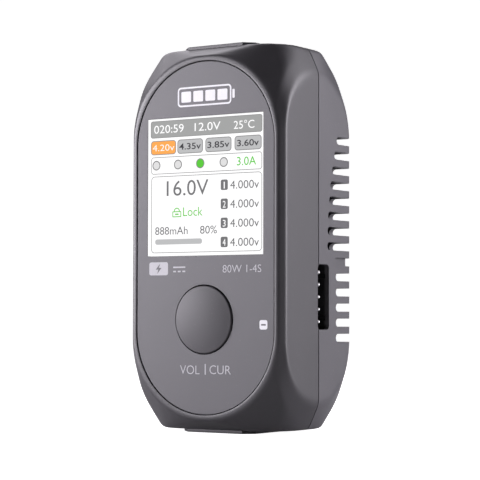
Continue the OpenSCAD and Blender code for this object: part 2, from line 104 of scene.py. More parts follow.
def evaluatedMesh(piece, name):
    bpy.context.view_layer.update()
    graph = bpy.context.evaluated_depsgraph_get()
    mesh = bpy.data.meshes.new_from_object(piece.evaluated_get(graph), depsgraph=graph)
    mesh.name = name
    return mesh


def applied(piece):
    # The evaluated mesh takes the place of the live modifiers.
    mesh = evaluatedMesh(piece, piece.name)
    piece.modifiers.clear()
    piece.data = mesh
    return piece


def discard(piece):
    bpy.data.objects.remove(piece, do_unlink=True)


def carve(piece, tools, operation):
    # Joins or cuts with each tool in turn, then drops the tools.
    for tool in tools:
        cut = piece.modifiers.new("carve", "BOOLEAN")
        cut.operation = operation
        cut.solver = "MANIFOLD"
        cut.object = tool
    applied(piece)
    for tool in tools:
        discard(tool)
    return piece


def cleanNormals(piece, smooth):
    mesh = piece.data
    work = bmesh.new()
    work.from_mesh(mesh)
    bmesh.ops.remove_doubles(work, verts=work.verts, dist=0.002 * mm)
    bmesh.ops.recalc_face_normals(work, faces=work.faces)
    work.to_mesh(mesh)
    work.free()
    smoothed(mesh, smooth)
    weigh = piece.modifiers.new("weigh", "WEIGHTED_NORMAL")
    weigh.keep_sharp = True
    weigh.weight = 80
    return applied(piece)


def finish(piece, material, body, slot, *nodes):
    piece.data.materials.clear()
    piece.data.materials.append(material)
    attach(piece, body)
    if nodes:
        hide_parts(*nodes)
    return piece


def loft(name, loops, smooth=None):
    # Loops of equal length, joined in order, with both ends closed.
    count = len(loops[0])
    points = [p for loop in loops for p in loop]
    faces = [list(range(count))[::-1], [len(points) - count + i for i in range(count)]]
    for ring in range(len(loops) - 1):
        for i in range(count):
            j = (i + 1) % count
            a, b = ring * count, (ring + 1) * count
            faces.append([a + i, a + j, b + j, b + i])
    piece = meshPiece(name, points, faces)
    work = bmesh.new()
    work.from_mesh(piece.data)
    bmesh.ops.recalc_face_normals(work, faces=work.faces)
    work.to_mesh(piece.data)
    work.free()
    if smooth is not None:
        smoothed(piece.data, smooth)
    return piece


def arc(cx, cy, radius, start, end, steps):
    turns = (math.radians(start + (end - start) * i / steps) for i in range(steps + 1))
    return [(cx + radius * math.cos(a), cy + radius * math.sin(a)) for a in turns]


def circleOutline(cx, cy, radius, steps=64):
    return arc(cx, cy, radius, 0, 360 * (steps - 1) / steps, steps - 1)


def roundedOutline(cx, cy, width, height, radius, steps=10):
    a, b = width / 2 - radius, height / 2 - radius
    corners = ((a, b, 0), (-a, b, 90), (-a, -b, 180), (a, -b, 270))
    return [p for x, y, turn in corners for p in arc(cx + x, cy + y, radius, turn, turn + 90, steps)]


def flatPiece(name, outlines, frontY, backY, bevel=0.0):
    # A plate facing -Y. The first outline is its edge and the others are openings in it.
    curve = bpy.data.curves.new(name, "CURVE")
    curve.dimensions = "2D"
    curve.fill_mode = "BOTH"
    curve.extrude = (backY - frontY) / 2 * mm - bevel * mm
    curve.bevel_depth = bevel * mm
    curve.bevel_resolution = 3
    curve.offset = -bevel * mm
    for outline in outlines:
        spline = curve.splines.new("POLY")
        spline.points.add(len(outline) - 1)
        for point, (x, z) in zip(spline.points, outline):
            point.co = (x * mm, z * mm, 0, 1)
        spline.use_cyclic_u = True
    flat = newObject(name + "Curve", curve)
    mesh = evaluatedMesh(flat, name)
    discard(flat)
    middle = Matrix.Translation((0, (frontY + backY) / 2 * mm, 0))
    mesh.transform(middle @ Matrix.Rotation(math.pi / 2, 4, "X"))
    return cleanNormals(newObject(name, mesh), 40)


def lathe(name, profile, centre, steps, smooth=35):
    # A profile of (radius, y) turned about the Y axis through centre.
    points, faces = [], []
    for radius, y in profile:
        points += [(centre[0] + radius * math.cos(a), y, centre[1] + radius * math.sin(a))
            for a in (2 * math.pi * i / steps for i in range(steps))]
    for ring in range(len(profile) - 1):
        for i in range(steps):
            j = (i + 1) % steps
            a, b = ring * steps, (ring + 1) * steps
            faces.append([a + i, b + i, b + j, a + j])
    faces += [list(range(steps)), [len(points) - 1 - i for i in range(steps)]]
    piece = meshPiece(name, points, faces)
    return cleanNormals(piece, smooth)


# Shader groups
def newGroup(name, inputs, outputs):
    group = bpy.data.node_groups.new(name, "ShaderNodeTree")
    kinds = {"float": "NodeSocketFloat", "color": "NodeSocketColor", "vector": "NodeSocketVector"}
    for label, kind, value in inputs:
        group.interface.new_socket(name=label, in_out="INPUT",
            socket_type=kinds[kind]).default_value = value
    for label, kind in outputs:
        group.interface.new_socket(name=label, in_out="OUTPUT", socket_type=kinds[kind])
    return group, group.nodes.new("NodeGroupInput"), group.nodes.new("NodeGroupOutput")


def addNode(tree, kind, links=None, **settings):
    # Links give a socket's value, or the output socket that feeds it.
    node = tree.nodes.new(kind)
    for key, value in settings.items():
        setattr(node, key, value)
    for socket, value in (links or {}).items():
        if isinstance(value, bpy.types.NodeSocket):
            tree.links.new(value, node.inputs[socket])
        else:
            node.inputs[socket].default_value = value
    return node


def objectPlace(tree):
    return addNode(tree, "ShaderNodeTexCoord").outputs["Object"]


def noise(tree, place, scale, detail, roughness=0.5):
    values = {"Vector": place, "Scale": scale, "Detail": detail, "Roughness": roughness}
    return addNode(tree, "ShaderNodeTexNoise", values).outputs["Fac"]


def reckon(tree, operation, first, second):
    return addNode(tree, "ShaderNodeMath", {0: first, 1: second}, operation=operation).outputs[0]


def ranged(tree, value, fromLow=0.0, fromHigh=1.0, toLow=0.0, toHigh=1.0):
    values = {"Value": value, "From Min": fromLow, "From Max": fromHigh, "To Min": toLow, "To Max": toHigh}
    return addNode(tree, "ShaderNodeMapRange", values).outputs[0]


def makeGrainGroup():
    # Moulded grain: a fine pebble height with slow patches of finish over it.
    group, given, out = newGroup("mouldedGrain",
        [("Scale", "float", 5000.0), ("Patch Scale", "float", 90.0)],
        [("Height", "float"), ("Patch", "float")])
    place = objectPlace(group)
    fine = noise(group, place, given.outputs["Scale"], 2.0, 0.6)
    pits = addNode(group, "ShaderNodeTexVoronoi", {"Vector": place, "Scale": given.outputs["Scale"]},
        feature="SMOOTH_F1")
    group.links.new(reckon(group, "ADD", fine, pits.outputs["Distance"]), out.inputs["Height"])
    group.links.new(noise(group, place, given.outputs["Patch Scale"], 3.0), out.inputs["Patch"])
    return group


def makeEdgeGroup():
    # Convex edges, where handling polishes and lightens a surface.
    group, given, out = newGroup("edgeWear", [("Low", "float", 0.56), ("High", "float", 0.68)],
        [("Mask", "float")])
    shape = addNode(group, "ShaderNodeNewGeometry").outputs["Pointiness"]
    ramp = ranged(group, shape, given.outputs["Low"], given.outputs["High"])
    broken = noise(group, objectPlace(group), 700.0, 3.0)
    group.links.new(reckon(group, "MULTIPLY", ramp, broken), out.inputs["Mask"])
    return group


def makeDustGroup():
    # Fine specks that lie over a surface.
    group, given, out = newGroup("fineDust", [("Scale", "float", 2600.0), ("Amount", "float", 0.5)],
        [("Mask", "float")])
    specks = noise(group, objectPlace(group), given.outputs["Scale"], 1.0)
    ramp = ranged(group, specks, 0.68, 0.8)
    group.links.new(reckon(group, "MULTIPLY", ramp, given.outputs["Amount"]), out.inputs["Mask"])
    return group


grainGroup, edgeGroup, dustGroup = makeGrainGroup(), makeEdgeGroup(), makeDustGroup()


def useGroup(tree, group, **values):
    node = tree.nodes.new("ShaderNodeGroup")
    node.node_tree = group
    for label, value in values.items():
        node.inputs[label.replace("_", " ")].default_value = value
    return node


def mixColours(tree, factor, first, second):
    node = addNode(tree, "ShaderNodeMix", data_type="RGBA")
    for socket, value in ((node.inputs[0], factor), (node.inputs[6], first), (node.inputs[7], second)):
        if isinstance(value, bpy.types.NodeSocket):
            tree.links.new(value, socket)
        else:
            socket.default_value = value
    return node.outputs[2]


def newMaterial(name, **sockets):
    material = bpy.data.materials.new(name)
    material.use_nodes = True
    tree = material.node_tree
    shader = tree.nodes["Principled BSDF"]
    for label, value in sockets.items():
        shader.inputs[label.replace("_", " ")].default_value = value
    return material, tree, shader


def shade(colour, share, more=0.0):
    return *(c * share + more for c in colour), 1


def toned(tree, factor, colour, low, high):
    return mixColours(tree, factor, shade(colour, low), shade(colour, high))


def feed(tree, shader, **sources):
    for label, source in sources.items():
        tree.links.new(source, shader.inputs[label.replace("_", " ")])


def relief(tree, height, strength, distance):
    return addNode(tree, "ShaderNodeBump", {"Height": height, "Strength": strength,
        "Distance": distance}).outputs[0]


def mouldedPlastic(name, colour, worn, roughness=0.36, grain=5000.0, bump=0.06, **sockets):
    # Satin moulded plastic: pebbled grain, patchy gloss, slightly polished edges and a little dust.
    material, tree, shader = newMaterial(name, **sockets)
    surface = useGroup(tree, grainGroup, Scale=grain)
    edges = useGroup(tree, edgeGroup)
    dust = useGroup(tree, dustGroup)
    patch = surface.outputs["Patch"]
    rubbed = mixColours(tree, edges.outputs["Mask"], toned(tree, patch, colour, 0.93, 1.07), (*worn, 1))
    dusty = mixColours(tree, dust.outputs["Mask"], rubbed, shade(colour, 1.5, 0.01))
    gloss = ranged(tree, patch, 0.0, 1.0, roughness - 0.03, roughness + 0.03)
    feed(tree, shader, Base_Color=dusty, Roughness=gloss,
        Normal=relief(tree, surface.outputs["Height"], bump, 0.00004))
    return material


def litInk(name, colour, strength):
    # What the display shows: a lit colour with the faint grid of its dots.
    material, tree, shader = newMaterial(name, Roughness=0.5, Specular_IOR_Level=0.08,
        Emission_Strength=strength)
    dots = addNode(tree, "ShaderNodeTexWave", {"Vector": objectPlace(tree), "Scale": 2700.0},
        bands_direction="X")
    feed(tree, shader, Base_Color=toned(tree, dots.outputs["Fac"], colour, 0.05, 0.06),
        Emission_Color=toned(tree, dots.outputs["Fac"], colour, 0.97, 1.0))
    return material


def printedInk(name, colour):
    # Pad-printed ink, slightly uneven.
    material, tree, shader = newMaterial(name, Roughness=0.5)
    cover = noise(tree, objectPlace(tree), 3500.0, 3.0)
    feed(tree, shader, Base_Color=toned(tree, cover, colour, 0.86, 1.0))
    return material


def metal(name, colour, roughness, scratch=900.0):
    # Plated or turned metal with fine drawn lines and patchy tarnish.
    material, tree, shader = newMaterial(name, Metallic=1.0)
    place = objectPlace(tree)
    stretch = addNode(tree, "ShaderNodeMapping", {"Vector": place, "Scale": (1.0, 0.1, 1.0)}).outputs[0]
    lines = noise(tree, stretch, scratch * 4, 4.0)
    patch = noise(tree, place, scratch, 2.0)
    feed(tree, shader, Base_Color=toned(tree, patch, colour, 0.85, 1.0),
        Roughness=ranged(tree, lines, 0.0, 1.0, roughness * 0.7, roughness * 1.4))
    return material


casePlastic = mouldedPlastic("casePlastic", (0.044, 0.0425, 0.0465), (0.058, 0.056, 0.061), 0.40)
# The rear shell takes a lighter copy of the case plastic: painted light, so that the rear half of the case
# reads brighter than the front shell as though more light fell on it.
rearPlasticPaintedLight = mouldedPlastic("rearPlasticPaintedLight", (0.078, 0.076, 0.083), (0.092, 0.090, 0.097), 0.38)
panelPlastic = mouldedPlastic("panelPlastic", (0.077, 0.075, 0.082), (0.088, 0.086, 0.093), 0.48)
buttonPlastic = mouldedPlastic("buttonPlastic", (0.058, 0.056, 0.061), (0.08, 0.078, 0.084), 0.56)
blackNylon = mouldedPlastic("blackNylon", (0.010, 0.010, 0.011), (0.03, 0.03, 0.03), 0.45, 3000.0, 0.1)
print("materials made")


# The case's form: six flat facets, with the rounded shoulders between the cheeks and the ends.
# A facet is its half width, half height and corner radius.
padHeight = 0.6
caseForm = {"halfWidth": frontHigh.x, "halfDepth": -frontLow.y,
    "halfHeight": (frontHigh.z - frontLow.z) / 2 - padHeight, "faceIn": (1.05, 2.1), "faceRadius": 17.0,
    "cheekIn": (1.3, 5.4), "cheekRadius": 12.2, "crownIn": (2.65, 3.8), "crownRadius": 6.4,
    "shoulderIn": (0.45, 1.5), "shoulderRadius": 12.4, "shoulderStep": 1.8, "wall": 1.5,
    "partingDepth": 0.35, "seatDepth": 1.4, "seatBack": 2.5, "cornerSteps": 40, "axisHalf": 21.0,
    "sideSteps": 84, "endSteps": 128, "softening": 2}


def facetPoints(halfA, halfB, radius, steps):
    return roundedOutline(0, 0, 2 * halfA, 2 * halfB, min(radius, halfA, halfB), steps)


def formPlanes(s):
    w, d, h, n = s["halfWidth"], s["halfDepth"], s["halfHeight"], s["cornerSteps"]
    face = facetPoints(w - s["faceIn"][0], h - s["faceIn"][1], s["faceRadius"], n)
    cheek = facetPoints(d - s["cheekIn"][0], h - s["cheekIn"][1], s["cheekRadius"], n)
    crown = facetPoints(w - s["crownIn"][0], d - s["crownIn"][1], s["crownRadius"], n)
    shoulder = facetPoints(d - s["shoulderIn"][0], h - s["shoulderIn"][1], s["shoulderRadius"], n)
    points = []
    for side in (-1, 1):
        points += [(a, side * d, b) for a, b in face]
        points += [(side * w, a, b) for a, b in cheek]
        points += [(side * (w - s["shoulderStep"]), a, b) for a, b in shoulder]
        points += [(a, b, side * h) for a, b in crown]
    work = bmesh.new()
    for p in points:
        work.verts.new(p)
    bmesh.ops.convex_hull(work, input=work.verts)
    work.normal_update()
    faces = [f for f in work.faces if f.calc_area() > 1e-5]
    normals = np.array([f.normal for f in faces], float)
    inside = np.array([f.calc_center_median() for f in faces], float)
    work.free()
    normals[(normals * inside).sum(1) < 0] *= -1
    return normals, (normals @ np.array(points).T).max(1)


def sweepRays(s):
    # Rays leave a short upright axis: straight out to the cheeks, and fanned over each end.
    half, rays = s["axisHalf"], []
    rays += [((0, -half + 2 * half * i / s["sideSteps"]), (1, 0)) for i in range(s["sideSteps"])]
    rays += [((0, half), p) for p in arc(0, 0, 1, 0, 180, s["endSteps"])[:-1]]
    rays += [((0, half - 2 * half * i / s["sideSteps"]), (-1, 0)) for i in range(s["sideSteps"])]
    rays += [((0, -half), p) for p in arc(0, 0, 1, 180, 360, s["endSteps"])[:-1]]
    return np.array([r[0] for r in rays], float), np.array([r[1] for r in rays], float)


def formRadius(planes, rays, y, inset):
    normals, reach = planes
    starts, ways = rays
    room = (reach - inset)[:, None] - normals[:, [0, 2]] @ starts.T - normals[:, 1:2] * y
    speed = normals[:, [0, 2]] @ ways.T
    return np.where(speed > 1e-6, room / np.maximum(speed, 1e-6), np.inf).min(0)


def pillRadius(halfWidth, halfHeight, rays):
    # Where each ray crosses an upright shape with round ends.
    starts, ways = rays
    turns = np.linspace(0, 2 * np.pi, 1440, endpoint=False)
    normals = np.stack([np.cos(turns), np.sin(turns)], 1)
    reach = halfWidth + (halfHeight - halfWidth) * np.abs(normals[:, 1])
    speed = normals @ ways.T
    room = reach[:, None] - normals @ starts.T
    return np.where(speed > 1e-6, room / np.maximum(speed, 1e-6), np.inf).min(0)


def ringAt(rays, radius, y):
    starts, ways = rays
    flat = starts + ways * np.asarray(radius)[:, None]
    return np.stack([flat[:, 0], np.full(len(flat), y) if np.isscalar(y) else y, flat[:, 1]], 1)


def caseShell(name, planes, s, side, rim):
    # Rows run up the inner wall, across the parting face, over the outside and round the rim.
    rays = sweepRays(s)
    d, wall = s["halfDepth"], s["wall"]
    seatBack = d - (s["seatBack"] if rim else wall)
    innerLevels = [seatBack, seatBack - 0.02] + list(np.linspace(seatBack - 1, 0, 8))
    inner = [ringAt(rays, formRadius(planes, rays, side * y, wall), side * y) for y in innerLevels]
    levels = [0.0, 0.13, 0.14, 0.2] + list(np.linspace(0.8, d - 5.2, 14)) + list(np.linspace(d - 5, d, 26))
    radii = [formRadius(planes, rays, side * y, 0.0) for y in levels]
    radii[:2] = [radius - s["partingDepth"] for radius in radii[:2]]
    outer = [ringAt(rays, radius, side * y) for radius, y in zip(radii, levels)]
    edge = radii[-1]
    if rim:
        hole = pillRadius(rim["halfWidth"], rim["halfHeight"], rays)
        outer += [ringAt(rays, edge + (hole + rim["fillet"] - edge) * t, side * d)
            for t in (0.33, 0.66, 1.0)]
    else:
        # Closely spaced rings fill the flat rear wall, so that its shading stays even round the openings.
        shares = [0.985, 0.97, 0.955, 0.94, 0.92] + list(np.linspace(0.9, 0.1, 9))
        outer += [ringAt(rays, edge * t, side * d) for t in shares]
    grid = np.array(outer)
    for _ in range(s["softening"]):
        blended = (grid[:-2] + 2 * grid[1:-1] + grid[2:]) / 4
        grid[3:-1] = blended[2:]
        grid[2:] = (np.roll(grid[2:], 1, 1) + 2 * grid[2:] + np.roll(grid[2:], -1, 1)) / 4
    rows = inner + list(grid)
    if rim:
        # A small fillet leads down to the panel's seat.
        for a in (30, 60, 90):
            turn = math.radians(a)
            wider = rim["fillet"] * (1 - math.sin(turn))
            rows.append(ringAt(rays, hole + wider, side * (d - rim["fillet"] * (1 - math.cos(turn)))))
        rows.append(ringAt(rays, hole, side * (d - s["seatDepth"])))
    return loft(name, [[tuple(p) for p in row] for row in rows])


def upright(outline, z0, z1, name="upright"):
    # A solid that stands on an XY outline.
    return loft(name, [[(x, y, z) for x, y in outline] for z in (z0, z1)])


def along(outline, y0, y1, name="along"):
    # A solid that runs along Y from an XZ outline.
    return loft(name, [[(x, y, z) for x, z in outline] for y in (y0, y1)])


def across(outline, x0, x1, name="across"):
    # A solid that runs along X from a YZ outline.
    return loft(name, [[(x, y, z) for y, z in outline] for x in (x0, x1)])


def stadiumOutline(cx, cy, length, height, steps=12):
    return roundedOutline(cx, cy, length, height, height / 2 - 0.001, steps)


# Geometry Nodes trees. Each repeats the geometry that it is given.
def newTree(name, inputs):
    tree = bpy.data.node_groups.new(name, "GeometryNodeTree")
    tree.interface.new_socket(name="Geometry", in_out="INPUT", socket_type="NodeSocketGeometry")
    kinds = {"int": "NodeSocketInt", "float": "NodeSocketFloat", "vector": "NodeSocketVector",
        "material": "NodeSocketMaterial"}
    for label, kind in inputs:
        tree.interface.new_socket(name=label, in_out="INPUT", socket_type=kinds[kind])
    tree.interface.new_socket(name="Geometry", in_out="OUTPUT", socket_type="NodeSocketGeometry")
    return tree, tree.nodes.new("NodeGroupInput").outputs


def endTree(tree, given, points, rotation=None):
    # Puts the item on the points, then makes the copies real and gives them their material.
    links = {"Points": points, "Instance": given["Geometry"]}
    if rotation is not None:
        links["Rotation"] = rotation
    placed = addNode(tree, "GeometryNodeInstanceOnPoints", links)
    real = addNode(tree, "GeometryNodeRealizeInstances", {"Geometry": placed.outputs["Instances"]})
    done = addNode(tree, "GeometryNodeSetMaterial",
        {"Geometry": real.outputs[0], "Material": given["Material"]})
    tree.links.new(done.outputs[0], tree.nodes.new("NodeGroupOutput").inputs[0])
    return tree


def makeRowTree():
    # A row of items whose line may bow in Y about one height.
    tree, given = newTree("itemRow", [("Count", "int"), ("Start", "vector"), ("Step", "vector"),
        ("Bow", "float"), ("Bow Height", "float"), ("Material", "material")])
    line = addNode(tree, "GeometryNodeMeshLine",
        {"Count": given["Count"], "Start Location": given["Start"], "Offset": given["Step"]}, mode="OFFSET")
    height = addNode(tree, "ShaderNodeSeparateXYZ",
        {0: addNode(tree, "GeometryNodeInputPosition").outputs[0]})
    away = reckon(tree, "SUBTRACT", height.outputs["Z"], given["Bow Height"])
    bow = reckon(tree, "MULTIPLY", reckon(tree, "MULTIPLY", away, away), given["Bow"])
    shift = addNode(tree, "ShaderNodeCombineXYZ", {"Y": bow})
    moved = addNode(tree, "GeometryNodeSetPosition",
        {"Geometry": line.outputs[0], "Offset": shift.outputs[0]})
    return endTree(tree, given, moved.outputs[0])


def makeRingTree():
    # Items spaced evenly round an axis along Y.
    tree, given = newTree("itemRing", [("Count", "int"), ("Centre", "vector"), ("Material", "material")])
    line = addNode(tree, "GeometryNodeMeshLine",
        {"Count": given["Count"], "Start Location": given["Centre"], "Offset": (0, 0, 0)}, mode="OFFSET")
    share = reckon(tree, "DIVIDE", 2 * math.pi, given["Count"])
    turn = reckon(tree, "MULTIPLY", addNode(tree, "GeometryNodeInputIndex").outputs[0], share)
    spin = addNode(tree, "ShaderNodeCombineXYZ", {"Y": turn})
    return endTree(tree, given, line.outputs[0], spin.outputs[0])


def makeCornersTree():
    # One item at each corner of an upright rectangle.
    tree, given = newTree("itemCorners", [("Width", "float"), ("Height", "float"), ("Centre", "vector"),
        ("Material", "material")])
    grid = addNode(tree, "GeometryNodeMeshGrid",
        {"Size X": given["Width"], "Size Y": given["Height"], "Vertices X": 2, "Vertices Y": 2})
    stood = addNode(tree, "GeometryNodeTransform",
        {"Geometry": grid.outputs[0], "Rotation": (math.pi / 2, 0, 0), "Translation": given["Centre"]})
    return endTree(tree, given, stood.outputs[0])


rowTree, ringTree, cornersTree = makeRowTree(), makeRingTree(), makeCornersTree()


def repeated(piece, tree, **values):
    grow = piece.modifiers.new("repeat", "NODES")
    grow.node_group = tree
    names = {item.name: item.identifier for item in tree.interface.items_tree if item.in_out == "INPUT"}
    for label, value in values.items():
        grow[names[label.replace("_", " ")]] = value
    return applied(piece)


# Openings of the case
portLow, portHigh = boxMm("balance_header")
portY, portZ = (portLow.y + portHigh.y) / 2, (portLow.z + portHigh.z) / 2
screwLow, screwHigh = boxMm("case_screws")
screwHeadRadius = 1.9
screwX, screwZ = screwHigh.x - screwHeadRadius, (screwHigh.z - screwLow.z) / 2 - screwHeadRadius
fanLow, fanHigh = boxMm("fan_frame")
fanZ = (fanLow.z + fanHigh.z) / 2
plugLow, plugHigh = boxMm("input_connector")
wellLow, wellHigh = boxMm("output_connector")
capLow, capHigh = boxMm("button_cap")
buttonZ = (capLow.z + capHigh.z) / 2

slotSet = {"count": 14, "pitch": 3.11, "gap": 1.65, "frontY": 3.4, "lowFrontY": 6.8, "bowRadius": 66.0,
    "bowHeight": -2.0, "turnIn": 4.75, "portRow": 9, "grooveDepth": 0.7, "endSteps": 10}


def slotOutline(s, side, start, room):
    # The cut's section at one height: through the cheek from start, and round on to the rear wall.
    out, back = side * (room["halfWidth"] + 2), room["halfDepth"] + 14
    return [(out, start), (out, back), (side * (room["halfWidth"] - s["turnIn"] + s["gap"] / 2), back),
        (side * (room["halfWidth"] - s["turnIn"] + s["gap"] / 2), start)]


def slotCutter(s, side, room):
    # One slot about the origin, with a round front end.
    half, loops = s["gap"] / 2, []
    for i in range(s["endSteps"] + 1):
        turn = math.pi * i / s["endSteps"] - math.pi / 2
        high = half * math.sin(turn)
        loops.append([(x, y, high) for x, y in slotOutline(s, side, half - half * math.cos(turn), room)])
    return loft("slotCutter", loops)


def slotTurnCutter(s, side, room):
    # The same slot's round end in the rear wall.
    half, loops = s["gap"] / 2, []
    inner, back = room["halfWidth"] - s["turnIn"], room["halfDepth"]
    for i in range(s["endSteps"] + 1):
        turn = math.pi * i / s["endSteps"] - math.pi / 2
        near, high = inner + half - half * math.cos(turn), half * math.sin(turn)
        loops.append([(side * x, y, high) for x, y in ((near, back - 3), (near, back + 2),
            (inner + 2 * half, back + 2), (inner + 2 * half, back - 3))])
    return loft("slotTurnCutter", loops)


def slotRow(s, cutter, first, last, frontY, bow):
    top = (s["count"] + 1 - 2 * first) / 2 * s["pitch"] + midZ
    return repeated(cutter, rowTree, Count=last - first + 1, Start=(0, frontY * mm, top * mm),
        Step=(0, 0, -s["pitch"] * mm), Bow=bow / (2 * s["bowRadius"]) / mm,
        Bow_Height=(midZ + s["bowHeight"]) * mm)


def keyedOutline(grow, chamfer=2.3):
    w, d = plugHigh.x + grow, plugHigh.y + grow
    return [(-w, -d), (w - chamfer, -d), (w, chamfer - d), (w, d - chamfer), (w - chamfer, d), (-w, d)]


def padOutline(form, cut=2.0, width=17.4):
    w, d = width / 2, form["halfDepth"] - form["crownIn"][1]
    return [(cut - w, -d), (w - cut, -d), (w, cut - d), (w, d - cut), (w - cut, d), (cut - w, d),
        (-w, d - cut), (-w, cut - d)]


def shrunk(outline, by):
    reachX, reachY = (max(abs(p[i]) for p in outline) for i in (0, 1))
    return [(x * (reachX - by) / reachX, y * (reachY - by) / reachY) for x, y in outline]


def endPad(form, end):
    # A pad with a small round-over, half of it sunk in the case.
    outline, top = padOutline(form), form["halfHeight"] + padHeight
    sections = [(0.0, form["halfHeight"] - 1.4), (0.0, top - 0.18), (0.05, top - 0.06), (0.18, top)]
    return loft("endPad", [[(x, y, midZ + end * z) for x, y in shrunk(outline, by)] for by, z in sections])


def halfSpace(side):
    reach = 60.0
    low, high = sorted((0.0, side * reach))
    return along(roundedOutline(0, midZ, reach, 2 * reach, 0.01, 1), low, high)


def trimmed(piece, side):
    return carve(piece, [halfSpace(side)], "INTERSECT")


def raised(points):
    return [(x, y, z + midZ) for x, y, z in points]


casePlanes = formPlanes(caseForm)
panelRim = {"halfWidth": 16.75, "halfHeight": 35.6, "fillet": 0.1}


openingSet = {"portHeight": 13.2, "portDepth": 4.4, "portRadius": 0.9, "portX": (16.0, 20.0), "bodyX": 9.0,
    "bodyClear": 0.05, "plugClear": 0.05, "wellClear": 0.15, "plugReach": (3, 6), "displayClear": 0.3,
    "displayY": (-12.6, -9), "buttonRadius": 7.0, "buttonY": (-14.5, -9), "grilleRows": 3,
    "grilleY": (10, 15), "grilleIn": 1.5}


def sideOpenings():
    s, size = openingSet, portHigh - portLow
    port = roundedOutline(portY, portZ, s["portDepth"], s["portHeight"], s["portRadius"])
    body = roundedOutline(portY, portZ, *(side + 2 * s["bodyClear"] for side in (size.y, size.z)), 0.02, 2)
    past, deep = s["plugReach"]
    return [across(port, *s["portX"]), across(body, s["bodyX"], portHigh.x),
        upright(keyedOutline(s["plugClear"]), plugLow.z - past, plugLow.z + deep),
        upright(keyedOutline(s["wellClear"]), wellHigh.z - deep, wellHigh.z + past)]


def paddedShell(name, form, side, rim):
    piece = caseShell(name, casePlanes, form, side, rim)
    piece.data.transform(Matrix.Translation((0, 0, midZ * mm)))
    return carve(piece, [trimmed(endPad(form, end), side) for end in (-1, 1)], "UNION")


def corners(x, z, middle):
    return [(sx * x, middle + sz * z) for sx in (-1, 1) for sz in (-1, 1)]


def makeCaseFront(form):
    piece, s = paddedShell("caseFront", form, -1, panelRim), openingSet
    displayLow, displayHigh = boxMm("display_glass")
    size, middle = displayHigh - displayLow, (displayHigh + displayLow) / 2
    display = roundedOutline(0, middle.z, size.x + s["displayClear"], size.z + s["displayClear"], 0.3, 3)
    tools = sideOpenings() + [along(display, *s["displayY"])]
    tools.append(along(circleOutline(0, buttonZ, s["buttonRadius"], 96), *s["buttonY"]))
    return carve(piece, tools, "DIFFERENCE")


def grilleCutters(s):
    tools, reach = [], (fanHigh.x - fanLow.x) / 2 - s["grilleIn"]
    for i in range(-s["grilleRows"], s["grilleRows"] + 1):
        rise = i * slotSet["pitch"]
        length = 2 * math.sqrt(reach ** 2 - rise ** 2)
        tools.append(along(stadiumOutline(0, fanZ + rise, length, slotSet["gap"]), *s["grilleY"]))
    return tools


def innerForm(form, inset):
    # The whole form of the case moved inwards, as one closed solid.
    rays = sweepRays(form)
    levels = np.linspace(inset - form["halfDepth"], form["halfDepth"] - inset, 24)
    rows = [ringAt(rays, formRadius(casePlanes, rays, y, inset), y) for y in levels]
    return loft("innerForm", [raised([tuple(p) for p in row]) for row in rows])


postSet = {"radius": 3.2, "postY": (0.02, 12.6), "bore": 1.15, "boreY": (-1, 14), "sink": 2.1,
    "sinkY": (8, 14)}


def makeCaseRear(form):
    piece, places, p = paddedShell("caseRear", form, 1, None), corners(screwX, screwZ, midZ), postSet
    carve(piece, [along(circleOutline(x, z, p["radius"], 48), *p["postY"]) for x, z in places], "UNION")
    s, tools = slotSet, sideOpenings() + grilleCutters(openingSet)
    for x, z in places:
        tools += [along(circleOutline(x, z, p["bore"], 32), *p["boreY"]),
            along(circleOutline(x, z, p["sink"], 48), *p["sinkY"])]
    runs = ((-1, 1, s["count"], s["frontY"], 1.0), (1, 1, s["portRow"] - 1, s["frontY"], 1.0),
        (1, s["portRow"] + 1, s["count"], s["lowFrontY"], 0.0))
    tools += [slotRow(s, slotCutter(s, side, form), *run) for side, *run in runs]
    blind = slotRow(s, slotCutter(s, 1, form), s["portRow"], s["portRow"], s["lowFrontY"] - 0.5, 0.0)
    tools.append(carve(blind, [innerForm(form, s["grooveDepth"])], "DIFFERENCE"))
    tools += [slotRow(s, slotTurnCutter(s, side, form), first, last, 0.0, 0.0)
        for side, first, last, *_ in runs]
    return carve(piece, tools, "DIFFERENCE")


caseFront = cleanNormals(makeCaseFront(caseForm), 30)
finish(caseFront, casePlastic, "case", "case_plastic", "front_shell")
print("front shell made")
caseRear = cleanNormals(makeCaseRear(caseForm), 30)
# The rear shell's lighter copy of the case plastic paints light on this half of the case.
finish(caseRear, rearPlasticPaintedLight, "case", "case_plastic", "rear_shell")
print("rear shell made")


def joined(name, pieces):
    work = bmesh.new()
    for piece in pieces:
        work.from_mesh(piece.data)
        discard(piece)
    mesh = bpy.data.meshes.new(name)
    work.to_mesh(mesh)
    work.free()
    return newObject(name, mesh)


def chamferedLoft(name, outline, axis, low, high, bevel, smooth=30):
    # A solid along one axis with small chamfers at both ends.
    sections = [(bevel, low), (0.0, low + bevel), (0.0, high - bevel), (bevel, high)]
    middleA = (max(p[0] for p in outline) + min(p[0] for p in outline)) / 2
    middleB = (max(p[1] for p in outline) + min(p[1] for p in outline)) / 2
    loops = []
    for by, place in sections:
        centred = [(a - middleA, b - middleB) for a, b in outline]
        inner = [(a + middleA, b + middleB) for a, b in shrunk(centred, by)]
        spot = "XYZ".index(axis)
        loops.append([(*p[:spot], place, *p[spot:]) for p in inner])
    return loft(name, loops, smooth)


# Front panel: a bevelled plate with a screen opening and a button hole
panelLow, panelHigh = boxMm("front_panel")
windowLow, windowHigh = boxMm("display_window")
panelFace = panelLow.y
panelSet = {"bevel": 0.07, "roundSteps": 56, "holeRadius": 7.0, "windowGap": 0.05}


def pillOutline(halfWidth, halfHeight, steps):
    rise = halfHeight - halfWidth
    return (arc(0, midZ + rise, halfWidth, 0, 180, steps) + arc(0, midZ - rise, halfWidth, 180, 360, steps))


